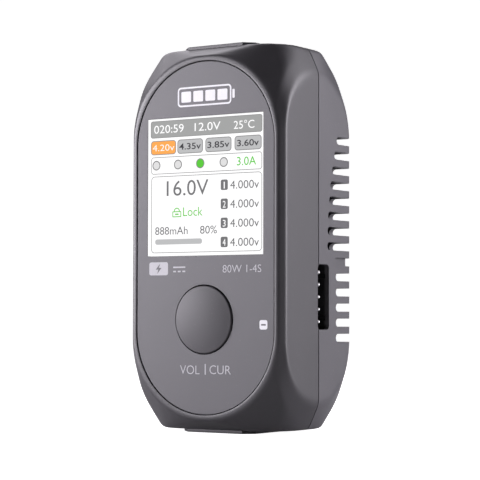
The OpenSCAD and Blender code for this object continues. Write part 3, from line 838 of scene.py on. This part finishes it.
def makePanel(s):
    pill = pillOutline(panelHigh.x, (panelHigh.z - panelLow.z) / 2, s["roundSteps"])
    side = windowHigh.x - windowLow.x + 2 * s["windowGap"]
    window = roundedOutline(0, (windowLow.z + windowHigh.z) / 2, side, side, 0.05, 2)
    hole = circleOutline(0, buttonZ, s["holeRadius"], 96)
    return flatPiece("frontPanel", [pill, window, hole], panelFace, panelHigh.y, s["bevel"])


finish(makePanel(panelSet), panelPlastic, "case", "panel_plastic", "front_panel")


# Flat marks on a face: plates, rings and figures, each a shape in millimetres from the case's middle
def plate(x0, x1, z0, z1, radius, front, back=0.05):
    outline = roundedOutline((x0 + x1) / 2, (z0 + z1) / 2 + midZ, x1 - x0, z1 - z0, radius, 6)
    return flatPiece("plate", [outline], panelFace - front, panelFace + back)


def frameMark(x0, x1, z0, z1, radius, line, front):
    cx, cz = (x0 + x1) / 2, (z0 + z1) / 2 + midZ
    outer = roundedOutline(cx, cz, x1 - x0, z1 - z0, radius, 6)
    inner = roundedOutline(cx, cz, x1 - x0 - 2 * line, z1 - z0 - 2 * line, max(radius - line, 0.02), 6)
    return flatPiece("frameMark", [outer, inner], panelFace - front, panelFace + 0.05)


def disc(x, z, radius, front, hole=0.0):
    rings = [circleOutline(x, z + midZ, r, 28) for r in (radius, hole) if r > 0]
    return flatPiece("disc", rings, panelFace - front, panelFace + 0.05)


def polygonMark(points, front):
    return flatPiece("polygonMark", [[(x, z + midZ) for x, z in points]], panelFace - front,
        panelFace + 0.05)


def figures(words, x0, x1, z0, z1, front, weight=0.0):
    # Lettering, fitted to the width and height given. The lowest and highest marks touch z0 and z1.
    curve = bpy.data.curves.new("figures", "FONT")
    curve.body = words
    curve.size = 1.0
    curve.offset = weight
    curve.extrude = 0.5
    curve.resolution_u = 4
    lettering = newObject("figuresText", curve)
    mesh = evaluatedMesh(lettering, "figures")
    discard(lettering)
    flat = np.empty(len(mesh.vertices) * 3)
    mesh.vertices.foreach_get("co", flat)
    flat = flat.reshape(-1, 3)
    low, high = flat.min(0), flat.max(0)
    share = (flat - low) / (high - low)
    placed = np.stack([x0 + share[:, 0] * (x1 - x0), panelFace + 0.03 - share[:, 2] * (front + 0.03),
        midZ + z0 + share[:, 1] * (z1 - z0)], 1) * mm
    mesh.vertices.foreach_set("co", placed.ravel())
    mesh.update()
    return cleanNormals(newObject("figures", mesh), 30)


def finishMarks(name, pieces, material, slot, *nodes):
    return finish(joined(name, pieces), material, "case", slot, *nodes)


inkSet = {"proud": 0.012, "white": (0.80, 0.80, 0.82), "grey": (0.48, 0.475, 0.50), "weight": -0.009}
whiteInk = printedInk("whiteInk", inkSet["white"])
greyInk = printedInk("greyInk", inkSet["grey"])
ink = inkSet["proud"]


def batteryMark():
    # A generic sign: a battery with four cells.
    marks = [frameMark(-6.6, 6.5, 26.5, 30.5, 0.8, 0.34, ink), plate(6.75, 7.3, 27.6, 29.4, 0.2, ink)]
    marks += [plate(-5.7 + 2.95 * i, -3.3 + 2.95 * i, 27.4, 29.6, 0.25, ink) for i in range(4)]
    return marks


def badgeMark():
    # A filled badge with a bolt left open in it, and the sign for direct current.
    outer = roundedOutline(-11.25, -6.2 + midZ, 4.7, 2.65, 0.45, 6)
    bolt = [(x - 11.25, z - 6.2 + midZ) for x, z in ((0.35, 1.05), (-0.75, -0.15), (-0.1, -0.15),
        (-0.35, -1.05), (0.75, 0.2), (0.1, 0.2))]
    marks = [flatPiece("badge", [outer, bolt], panelFace - ink, panelFace + 0.05)]
    marks.append(plate(-7.6, -4.6, -6.1, -5.8, 0.05, ink))
    marks += [plate(-7.6 + 1.15 * i, -6.9 + 1.15 * i, -6.95, -6.65, 0.05, ink) for i in range(3)]
    return marks


def minusMark():
    outer = roundedOutline(14.17, -17.49 + midZ, 1.84, 1.86, 0.42, 6)
    bar = roundedOutline(14.17, -17.49 + midZ, 1.1, 0.32, 0.05, 3)
    return flatPiece("minusMark", [outer, bar], panelFace - ink, panelFace + 0.05)


finishMarks("whitePrint", batteryMark() + [minusMark()], whiteInk, "panel_plastic")
greyWords = (("80W 1-4S", 4.5, 13.65, -7.15, -5.65), ("VOL", -5.8, -1.05, -27.45, -25.7),
    ("CUR", 1.4, 6.5, -27.35, -25.6))
greyMarks = badgeMark() + [figures(*words, ink, inkSet["weight"]) for words in greyWords]
greyMarks.append(plate(0.23, 0.48, -27.5, -25.35, 0.05, ink))
finishMarks("greyPrint", greyMarks, greyInk, "panel_plastic")
print("panel made")


# Display: a lit pane with its picture in thin layers
screenSet = {"glow": 1.0, "low": 0.012, "high": 0.022, "rowStep": 3.8,
    "buttons": ((-13.3, -7.0), (-6.65, -0.35), (0.25, 6.55), (7.3, 13.7)),
    "buttonRow": (17.05, 19.95, 0.7),
    "inks": {"white": (1.0, 1.0, 1.0), "bar": (0.34, 0.345, 0.34), "button": (0.48, 0.485, 0.49),
    "line": (0.22, 0.22, 0.22), "dark": (0.035, 0.035, 0.04), "soft": (0.155, 0.155, 0.16),
    "orange": (0.97, 0.38, 0.065), "green": (0.08, 0.56, 0.02), "paleGreen": (0.16, 0.58, 0.09),
    "lamp": (0.7, 0.7, 0.7)}}
low, high = screenSet["low"], screenSet["high"]


def makePane():
    cx, cz = (windowLow.x + windowHigh.x) / 2, (windowLow.z + windowHigh.z) / 2
    outline = roundedOutline(cx, cz, windowHigh.x - windowLow.x, windowHigh.z - windowLow.z, 0.03, 2)
    return flatPiece("screenPane", [outline], windowLow.y, windowHigh.y, 0.02)


def padlock(x0, x1, z0, z1):
    middle, width = (x0 + x1) / 2, x1 - x0
    body = frameMark(x0, x1, z0, z0 + (z1 - z0) * 0.66, 0.15, 0.2, low)
    bow = arc(middle, z0 + (z1 - z0) * 0.66 - 0.02, width * 0.34, 0, 180, 10)
    inner = arc(middle, z0 + (z1 - z0) * 0.66 - 0.02, width * 0.24, 180, 0, 10)
    return [body, polygonMark(bow + inner, low),
        plate(middle - 0.45, middle + 0.45, z0 + 0.45, z0 + 0.75, 0.1, low)]


def inRows(mark, x0, x1, z0, z1, *more):
    # The same mark once for each of the four cells.
    drops = [i * screenSet["rowStep"] for i in range(4)]
    return [mark(x0, x1, z0 - drop, z1 - drop, *more) for drop in drops]


def text(words, x0, x1, z0, z1, front=low, weight=0.0):
    return figures(words, x0, x1, z0, z1, front, weight)


def cellNumbers():
    drop, slim = screenSet["rowStep"], (0.13, 0.35, 0.35, 0.35)
    return [text(str(i + 1), 4.85 - slim[i], 4.85 + slim[i], 9.6 - i * drop, 10.95 - i * drop, high)
        for i in range(4)]


def buttonFills(places):
    return [plate(*place, *screenSet["buttonRow"], low) for place in places]


screenInks = {colour: litInk("screen" + colour.capitalize(), value, screenSet["glow"])
    for colour, value in screenSet["inks"].items()}
finish(makePane(), screenInks["white"], "case", "window", "display_window")
buttons, lamps, lampZ = screenSet["buttons"], (-11.9, -6.5, 4.7), 14.9
bar, title, voltRow, sumRow = (-13.35, 13.85, 20.5, 24.0, 0.5), (21.45, 23.1), (17.85, 19.15), (0.7, 2.3)
outlines = [frameMark(*place, *screenSet["buttonRow"], 0.16, high) for place in buttons]
outlines += [frameMark(*bar, 0.13, high), disc(-1.0, lampZ, 1.02, high, 0.84)]
outlines += [frameMark(-13.2, 13.8, 13.1, 16.6, 0.6, 0.13, low)]
outlines += [frameMark(-13.15, 13.8, -3.0, 12.65, 0.8, 0.13, low)]
outlines += [disc(x, lampZ, 1.0, low, 0.78) for x in lamps]
picture = (
    ("screenBar", "bar", [plate(*bar, low)]),
    ("screenButtons", "button", buttonFills(buttons[1:]) + [plate(-12.15, -0.5, -1.3, -0.2, 0.5, low)]),
    ("screenOrange", "orange", buttonFills(buttons[:1])),
    ("screenLines", "line", outlines),
    ("screenLamps", "lamp", [disc(x, lampZ, 0.78, low) for x in lamps]),
    ("screenLit", "green", [disc(-1.0, lampZ, 1.0, low), text("3.0A", 7.85, 12.4, 14.05, 15.75)]),
    ("screenLock", "paleGreen", padlock(-7.85, -5.65, 4.2, 6.05) + [text("Lock", -5.2, -0.4, 4.35, 6.15)]),
    ("screenWhite", "white", cellNumbers() + [text("020:59", -12.5, -5.1, *title, high),
        text("12.0V", -2.4, 3.9, *title, high), text("25\u00b0C", 7.1, 12.0, 21.35, 23.05, high),
        text("4.20v", -12.85, -7.45, *voltRow, high, -0.008)]),
    ("screenDark", "dark", [text(words, x0, x1, *voltRow, high, 0.012)
        for words, x0, x1 in (("4.35v", -6.2, -0.85), ("3.85v", 0.75, 6.05), ("3.60v", 7.9, 13.05))]),
    ("screenSoft", "soft", [text("888mAh", -12.15, -4.05, *sumRow), text("80%", -1.0, 3.1, *sumRow),
        text("16.0V", -9.3, 1.0, 8.55, 11.65)]
        + inRows(functools.partial(text, "4.000v"), 6.25, 13.1, 9.45, 11.1)
        + inRows(plate, 4.0, 5.7, 9.3, 11.4, 0.35, low)))
for name, colour, marks in picture:
    finishMarks(name, marks, screenInks[colour], "window")
print("display made")


# Button cap: a shallow dome with a rounded edge, on a skirt with a flange
capSet = {"radius": 6.8, "domeHeight": 0.75, "edge": 0.3, "domeSteps": 18, "edgeSteps": 6, "turns": 128,
    "skirt": 1.2, "flange": 0.8, "stem": 2.0}


def makeCap(s):
    r, h, top = s["radius"], s["domeHeight"], capLow.y
    ball = (r * r + h * h) / (2 * h)
    inner = r - s["edge"]
    profile = [(inner * i / s["domeSteps"] + 0.02 * (i == 0),) for i in range(s["domeSteps"] + 1)]
    profile = [(a, top + ball - math.sqrt(ball * ball - a * a)) for (a,) in profile]
    edgeY = profile[-1][1]
    profile += [(inner + s["edge"] * math.sin(t), edgeY + s["edge"] * (1 - math.cos(t)))
        for t in (math.pi / 2 * i / s["edgeSteps"] for i in range(1, s["edgeSteps"] + 1))]
    flangeBack = panelFace + 3.3
    flangeFront, wide = flangeBack - s["flange"], r + 0.9
    profile += [(r, flangeFront), (wide - 0.1, flangeFront), (wide, flangeFront + 0.1), (wide, flangeBack),
        (r - s["skirt"], flangeBack), (r - s["skirt"], edgeY + 1.3), (s["stem"], edgeY + 1.3),
        (s["stem"], capHigh.y - 0.1), (s["stem"] - 0.1, capHigh.y)]
    return lathe("buttonCap", profile, (0, buttonZ), s["turns"])


finish(makeCap(capSet), buttonPlastic, "button", "button_plastic", "button_cap")


# Balance port: a shrouded header with a row of square pins
headerSet = {"pins": 5, "pitch": 2.5, "pinWidth": 0.64, "tip": 0.22, "floor": 2.0, "shroudDepth": 4.4,
    "shroudHeight": 13.2}


def makeHeader(s):
    size = portHigh - portLow
    outline = roundedOutline(portY, portZ, size.y, size.z, 0.3, 4)
    body = chamferedLoft("balanceHeader", outline, "X", portLow.x, portHigh.x, 0.15)
    cavity = roundedOutline(portY, portZ, s["shroudDepth"], s["shroudHeight"], 0.45, 5)
    tools = [across(cavity, portLow.x + s["floor"], portHigh.x + 1)]
    tools.append(loft("leadIn", [[(x, portY + (y - portY) * k, portZ + (z - portZ) * (1 + (k - 1) / 3))
        for y, z in cavity] for x, k in ((portHigh.x - 0.2, 1.001), (portHigh.x + 0.2, 1.09))]))
    for high in (portHigh.z - 3.2, portLow.z + 3.2):
        notch = roundedOutline(portY + s["shroudDepth"] / 2, high, 1.0, 1.1, 0.1, 2)
        tools.append(across(notch, portHigh.x - 2.6, portHigh.x + 1))
    return cleanNormals(carve(body, tools, "DIFFERENCE"), 35)


def makePins(s):
    # One pin with a tapered tip and a bent tail, then the row of them.
    half, low, high = s["pinWidth"] / 2, *boxMm("balance_pins")
    square = [(-half, -half), (half, -half), (half, half), (-half, half)]
    places = ((low.x, 1.0), (high.x - s["tip"], 1.0), (high.x, 0.5))
    pin = loft("balancePins", [[(x, portY + a * k, b * k) for a, b in square] for x, k in places])
    leg = loft("leg", [[(low.x + half + a, y, b * 0.98) for a, b in square]
        for y in (low.y, portY + half * 0.9)])
    carve(pin, [leg], "UNION")
    top = portZ + (s["pins"] - 1) / 2 * s["pitch"]
    pins = repeated(pin, rowTree, Count=s["pins"], Start=(0, 0, top * mm), Step=(0, 0, -s["pitch"] * mm),
        Bow=0.0, Bow_Height=0.0, Material=tinPlate)
    return cleanNormals(pins, 25)


goldPlate = metal("goldPlate", (0.86, 0.66, 0.32), 0.22)
tinPlate = metal("tinPlate", (0.92, 0.92, 0.90), 0.45)
brass = metal("brass", (0.72, 0.55, 0.25), 0.3)
darkSteel = metal("darkSteel", (0.42, 0.42, 0.44), 0.32)
aluminium = metal("aluminium", (0.72, 0.73, 0.75), 0.35)
copper = metal("copper", (0.75, 0.33, 0.14), 0.3)
finish(makeHeader(headerSet), blackNylon, "case", "black_nylon", "balance_header")
finish(makePins(headerSet), tinPlate, "case", "gold_plate", "balance_pins")
print("balance port made")


# Case screws: socket heads in the four rear counterbores
screwSet = {"head": 1.9, "headHeight": 1.3, "shank": 1.0, "socket": 0.75, "socketDepth": 0.8,
    "threadPitch": 0.45, "turns": 40}


def makeScrews(s):
    low, high = screwLow.y, screwHigh.y
    seat = high - s["headHeight"]
    profile = [(0.05, low), (s["shank"] * 0.7, low)]
    rings = int((seat - low - 1) / s["threadPitch"])
    for i in range(rings):
        y = low + 0.2 + i * s["threadPitch"]
        profile += [(s["shank"] * 0.84, y), (s["shank"], y + s["threadPitch"] / 2)]
    profile += [(s["shank"] * 0.9, seat - 0.6), (s["shank"] * 0.9, seat), (s["head"], seat),
        (s["head"], high - 0.35)]
    profile += [(s["head"] - 0.35 * math.sin(t), high - 0.35 + 0.35 * (math.cos(math.pi / 2 - t)))
        for t in (math.pi / 2 * i / 4 for i in range(1, 4))]
    profile += [(s["head"] - 0.42, high), (0.05, high)]
    screw = lathe("caseScrews", profile, (0, 0), s["turns"])
    carve(screw, [along(circleOutline(0, 0, s["socket"], 6), high - s["socketDepth"], high + 1)],
        "DIFFERENCE")
    screws = repeated(screw, cornersTree, Width=2 * screwX * mm, Height=2 * screwZ * mm,
        Centre=(0, 0, midZ * mm), Material=darkSteel)
    return cleanNormals(screws, 35)


finish(makeScrews(screwSet), darkSteel, "case", "steel", "case_screws")


# Power plugs: keyed shells with two contacts each
plugSet = {"wall": 1.1, "depth": 8.5, "pitch": 7.2, "pin": 1.75, "shank": 2.05, "slit": 0.35, "sleeve": 2.25}
amberNylon = mouldedPlastic("amberNylon", (0.62, 0.40, 0.05), (0.75, 0.52, 0.12), 0.38, 3000.0, 0.05)


def makeInputShell(s):
    body = chamferedLoft("inputShell", keyedOutline(0), "Z", plugLow.z, plugHigh.z, 0.15)
    tools = [upright(keyedOutline(-s["wall"]), plugLow.z - 1, plugLow.z + s["depth"])]
    tools += [upright(circleOutline(side * s["pitch"] / 2, 0, s["shank"], 40), plugLow.z, plugHigh.z + 1)
        for side in (-1, 1)]
    return cleanNormals(carve(body, tools, "DIFFERENCE"), 35)


def makeOutputShell(s):
    low, high = wellLow.z, wellHigh.z
    shoulder = high - s["depth"]
    body = chamferedLoft("outputShell", keyedOutline(0), "Z", low, shoulder, 0.12)
    carve(body, [chamferedLoft("nose", keyedOutline(-s["wall"] - 0.15), "Z", shoulder - 2, high, 0.2)],
        "UNION")
    tools = [upright(circleOutline(side * s["pitch"] / 2, 0, s["sleeve"], 40), low - 1, high + 1)
        for side in (-1, 1)]
    return cleanNormals(carve(body, tools, "DIFFERENCE"), 35)


def solderTails(s, z0, z1):
    return [upright(roundedOutline(side * s["pitch"] / 2, -0.5, 2.1, 1.0, 0.2, 3), z0, z1)
        for side in (-1, 1)]


def standing(profile, x, steps, name):
    # A profile of (radius, z) turned about an upright axis.
    return loft(name, [[(x + px, py, z) for px, py in circleOutline(0, 0, r, steps)] for r, z in profile])


def makeInputPins(s):
    low, high = boxMm("input_pins")
    pins = []
    for side in (-1, 1):
        x, tip, floor = side * s["pitch"] / 2, low.z, plugLow.z + s["depth"]
        profile = [(s["pin"] - 0.5, tip), (s["pin"] - 0.15, tip + 0.15), (s["pin"], tip + 0.5),
            (s["pin"], floor), (s["shank"], floor + 0.02), (s["shank"], plugHigh.z)]
        pin = standing(profile, x, 40, "inputPins")
        slits = [upright(roundedOutline(x, 0, *size, 0.02, 1), tip - 1, tip + 4.5)
            for size in ((s["slit"], 5.0), (5.0, s["slit"] * 0.99))]
        pins.append(carve(pin, slits, "DIFFERENCE"))
    return cleanNormals(joined("inputPins", pins + solderTails(s, plugHigh.z - 0.5, high.z)), 35)


def makeSleeves(s):
    low, high = boxMm("output_contacts")
    sleeves = []
    for side in (-1, 1):
        x = side * s["pitch"] / 2
        body = standing([(s["sleeve"] - 0.02, wellLow.z), (s["sleeve"] - 0.02, high.z - 0.1),
            (s["sleeve"] - 0.12, high.z)], x, 40, "outputSleeves")
        bore = standing([(s["pin"], high.z - 10), (s["pin"], high.z - 0.25),
            (s["pin"] + 0.2, high.z + 0.02), (s["pin"] + 0.2, high.z + 1)], x, 40, "bore")
        sleeves.append(carve(body, [bore], "DIFFERENCE"))
    return cleanNormals(joined("outputSleeves", sleeves + solderTails(s, low.z, wellLow.z + 0.5)), 35)


finish(makeInputShell(plugSet), amberNylon, "case", "connector_amber", "input_connector")
finish(makeOutputShell(plugSet), amberNylon, "case", "connector_amber", "output_connector")
finish(makeInputPins(plugSet), goldPlate, "case", "gold_plate", "input_pins")
finish(makeSleeves(plugSet), goldPlate, "case", "gold_plate", "output_contacts")
print("power plugs made")


# Fan: a square frame with spokes, and a cup with curved blades round it
fanSet = {"bore": 11.6, "corner": 2.2, "hole": 10.0, "spokes": 3, "blades": 7, "hub": 5.8,
    "bladeReach": 11.15, "bladeThick": 0.55, "bladeSteps": 14, "sweep": 26.0, "turn": 40.0,
    "bladeSection": ((-1, 0), (-0.5, -0.25), (0, -0.35), (0.5, -0.25), (1, 0), (0.5, 0.25), (0, 0.25),
    (-0.5, 0.2))}


def makeFanFrame(s):
    low, high = fanLow, fanHigh
    width = high.x - low.x
    outline = roundedOutline(0, fanZ, width, width, s["corner"], 8)
    body = chamferedLoft("fanFrame", outline, "Y", low.y, high.y, 0.15)
    wide = s["bore"] + 0.25
    flare = [(wide, low.y - 0.05), (s["bore"], low.y + 0.35), (s["bore"], high.y - 0.35),
        (wide, high.y + 0.05)]
    tools = [lathe("bore", flare, (0, fanZ), 128)]
    for x, z in corners(s["hole"], s["hole"], fanZ):
        tools += [along(circleOutline(x, z, 1.1, 32), low.y - 1, high.y + 1),
            along(circleOutline(x, z, 1.85, 32), high.y - 1.25, high.y + 1)]
    carve(body, tools, "DIFFERENCE")
    plateEnd = low.y + 0.8
    extras = [lathe("motorPlate", [(s["hub"] - 0.5, low.y), (s["hub"] - 0.4, low.y + 0.1),
        (s["hub"] - 0.4, plateEnd)], (0, fanZ), 64)]
    for i in range(s["spokes"]):
        turn = math.radians(90 + 120 * i)
        spoke = [(s["hub"] - 1, -0.8), (s["bore"] + 0.3, -0.8), (s["bore"] + 0.3, 0.8), (s["hub"] - 1, 0.8)]
        extras.append(along([(a * math.cos(turn) - b * math.sin(turn),
            fanZ + a * math.sin(turn) + b * math.cos(turn)) for a, b in spoke], low.y + 0.05,
            plateEnd - 0.05))
    carve(body, extras, "UNION")
    axle = along(circleOutline(0, fanZ, 1.6, 32), low.y - 1, plateEnd + 1)
    return cleanNormals(carve(body, [axle], "DIFFERENCE"), 35)


def makeRotor(s):
    low, high = boxMm("fan_rotor")
    r, wallThick = s["hub"], 0.8
    profile = [(r - wallThick, low.y), (r, low.y), (r, high.y - 0.5), (r - 0.15, high.y - 0.15),
        (r - 0.5, high.y), (0.8, high.y), (0.8, high.y - wallThick), (r - wallThick, high.y - wallThick)]
    points, faces, turns = [], [], 96
    for i in range(turns):
        a = 2 * math.pi * i / turns
        points += [(radius * math.cos(a), y, fanZ + radius * math.sin(a)) for radius, y in profile]
    count = len(profile)
    for i in range(turns):
        for k in range(count):
            a, b = i * count + k, i * count + (k + 1) % count
            c, d = ((i + 1) % turns) * count + (k + 1) % count, ((i + 1) % turns) * count + k
            faces.append([a, b, c, d])
    hub = meshPiece("fanRotor", points, faces)
    middle, depth = (low.y + high.y) / 2, (high.y - low.y) / 2 - 0.2
    loops = []
    for i in range(s["bladeSteps"] + 1):
        # Each section of the blade leans less as it goes out.
        t = i / s["bladeSteps"]
        radius = r - 0.2 + (s["bladeReach"] - r + 0.2) * t
        lead = math.radians(s["sweep"] * t * t)
        lean = math.radians(s["turn"] * (1 - 0.35 * t))
        loop = []
        for share, back in s["bladeSection"]:
            y = depth * share
            shift = depth * share * math.tan(lean) + back * s["bladeThick"] * 2
            a = lead + shift / radius
            loop.append((radius * math.cos(a), y, radius * math.sin(a)))
        loops.append(loop)
    blade = loft("blade", loops)
    blades = repeated(blade, ringTree, Count=s["blades"], Centre=(0, middle * mm, fanZ * mm),
        Material=blackNylon)
    carve(cleanNormals(hub, 35), [blades], "UNION")
    return cleanNormals(hub, 35)


finish(makeFanFrame(fanSet), blackNylon, "case", "black_nylon", "fan_frame")
finish(makeRotor(fanSet), blackNylon, "fan_wheel", "black_nylon", "fan_rotor")
print("fan made")


# The parts inside keep their own shapes and take finishes by slot
def boardMask(name, colour):
    # Solder mask over tracks, with the weave of the board faintly showing.
    material, tree, shader = newMaterial(name, Roughness=0.35, Coat_Weight=0.4)
    tracks = addNode(tree, "ShaderNodeTexVoronoi", {"Vector": objectPlace(tree), "Scale": 420.0},
        distance="CHEBYCHEV")
    lines = ranged(tree, tracks.outputs["Distance"], 0.3, 0.36)
    feed(tree, shader, Base_Color=toned(tree, lines, colour, 0.7, 1.3),
        Normal=relief(tree, lines, 0.3, 0.00003))
    return material


insideFinishes = {
    "tape": mouldedPlastic("tape", (0.75, 0.74, 0.70), (0.8, 0.8, 0.78), 0.6),
    "lcd_glass": mouldedPlastic("lcdGlass", (0.35, 0.36, 0.38), (0.4, 0.4, 0.42), 0.12, 2500.0, 0.01),
    "backlight_white": mouldedPlastic("backlightWhite", (0.78, 0.78, 0.77), (0.82, 0.82, 0.8), 0.4),
    "flex_amber": mouldedPlastic("flexAmber", (0.42, 0.20, 0.05), (0.5, 0.28, 0.1), 0.3),
    "nylon_white": mouldedPlastic("nylonWhite", (0.70, 0.68, 0.62), (0.76, 0.75, 0.7), 0.45),
    "board_green": boardMask("boardMask", (0.02, 0.10, 0.05)),
    "chip_black": mouldedPlastic("chipBlack", (0.018, 0.018, 0.02), (0.05, 0.05, 0.05), 0.5, 4000.0, 0.12),
    "thermal_rubber": mouldedPlastic("thermalRubber", (0.20, 0.24, 0.30), (0.26, 0.3, 0.36), 0.7),
    "ferrite": mouldedPlastic("ferrite", (0.035, 0.035, 0.038), (0.08, 0.08, 0.08), 0.55, 2500.0, 0.2),
    "can_sleeve": metal("canSleeve", (0.5, 0.5, 0.53), 0.28),
    "ceramic_tan": mouldedPlastic("ceramicTan", (0.34, 0.24, 0.15), (0.45, 0.36, 0.26), 0.5),
    "wire_red": mouldedPlastic("wireRed", (0.45, 0.02, 0.02), (0.5, 0.05, 0.04), 0.4),
    "button_plastic": buttonPlastic, "case_plastic": casePlastic, "panel_plastic": panelPlastic,
    "black_nylon": blackNylon, "steel": darkSteel, "brass": brass, "gold_plate": goldPlate,
    "copper": copper, "aluminium": aluminium, "connector_amber": amberNylon, "window": screenInks["white"]}
for part in frame["record"]["subparts"]:
    mesh = frame["nodes"][part["node"]].data
    mesh.materials.clear()
    mesh.materials.append(insideFinishes[part["material_slot"]])
print("inside parts finished")


# Studio: a pale floor that sweeps up into a backdrop, a key light, a side light and two weak ones above
studioSet = {"ambient": 0.02, "tint": (0.965, 0.93, 1.0), "floorGlow": 1.0, "floorReach": 2600.0,
    "sweepRadius": 900.0, "papers": ((0.54, 0.54, 0.54, 1), (0.56, 0.56, 0.56, 1)), "lights": {
    "key": {"way": (-0.825, -0.537, 0.180), "distance": 606.0, "size": (520.0, 300.0), "power": 6.9},
    "side": {"way": (0.837, 0.483, 0.259), "distance": 600.0, "size": (400.0, 400.0), "power": 4.6},
    "top": {"way": (-0.612, 0.354, 0.707), "distance": 600.0, "size": (400.0, 400.0), "power": 1.4},
    "back": {"way": (0.354, 0.612, 0.707), "distance": 600.0, "size": (400.0, 400.0), "power": 0.7}}}


def makeLight(name, s):
    data = bpy.data.lights.new(name, "AREA")
    data.shape = "RECTANGLE"
    data.size, data.size_y = (side * mm for side in s["size"])
    data.energy = s["power"]
    data.color = studioSet["tint"]
    light = newObject(name, data)
    way = Vector(s["way"]).normalized()
    light.matrix_world = (Matrix.Translation((way * s["distance"] + Vector((0, 0, midZ))) * mm)
        @ way.to_track_quat("Z", "Y").to_matrix().to_4x4())


def makeWorld(s):
    # The camera sees past the floor into the same pale backdrop, and the object is lit weakly by it.
    world = bpy.data.worlds.new("studio")
    bpy.context.scene.world = world
    world.use_nodes = True
    tree = world.node_tree
    seen = addNode(tree, "ShaderNodeLightPath").outputs["Is Camera Ray"]
    backdrop = tree.nodes["Background"]
    backdrop.inputs["Color"].default_value = (1, 1, 1, 1)
    feed(tree, backdrop, Strength=ranged(tree, seen, 0.0, 1.0, s["ambient"], s["floorGlow"]))


def makeFloor(s):
    # The camera sees a nearly white floor, and the object is lit by a darker one.
    reach, radius = s["floorReach"], s["sweepRadius"]
    profile = [(-reach, -0.05)] + [(reach - radius + x, radius + z)
        for x, z in arc(0, 0, radius, 270, 360, 16)]
    profile += [(reach, 3 * radius)]
    turn = math.radians(cameraSet["azimuth"])
    points = []
    for x in (-1.6 * reach, 1.6 * reach):
        points += [(x * math.cos(turn) - y * math.sin(turn), x * math.sin(turn) + y * math.cos(turn), z)
            for y, z in profile]
    count = len(profile)
    floor = meshPiece("floor", points, [[i, i + 1, count + i + 1, count + i] for i in range(count - 1)])
    smoothed(floor.data, 60)
    material, tree, shader = newMaterial("floorPaper", Roughness=0.9, Emission_Color=(1, 1, 1, 1))
    paper = addNode(tree, "ShaderNodeTexNoise", {"Scale": 400.0, "Detail": 3.0}).outputs["Fac"]
    seen = addNode(tree, "ShaderNodeLightPath").outputs["Is Camera Ray"]
    feed(tree, shader, Base_Color=mixColours(tree, paper, *s["papers"]),
        Emission_Strength=reckon(tree, "MULTIPLY", seen, s["floorGlow"]))
    floor.data.materials.append(material)


makeFloor(studioSet)
makeWorld(studioSet)
for name, lamp in studioSet["lights"].items():
    makeLight(name + "Light", lamp)
bpy.context.scene.view_settings.view_transform = "Standard"
print("studio lit")
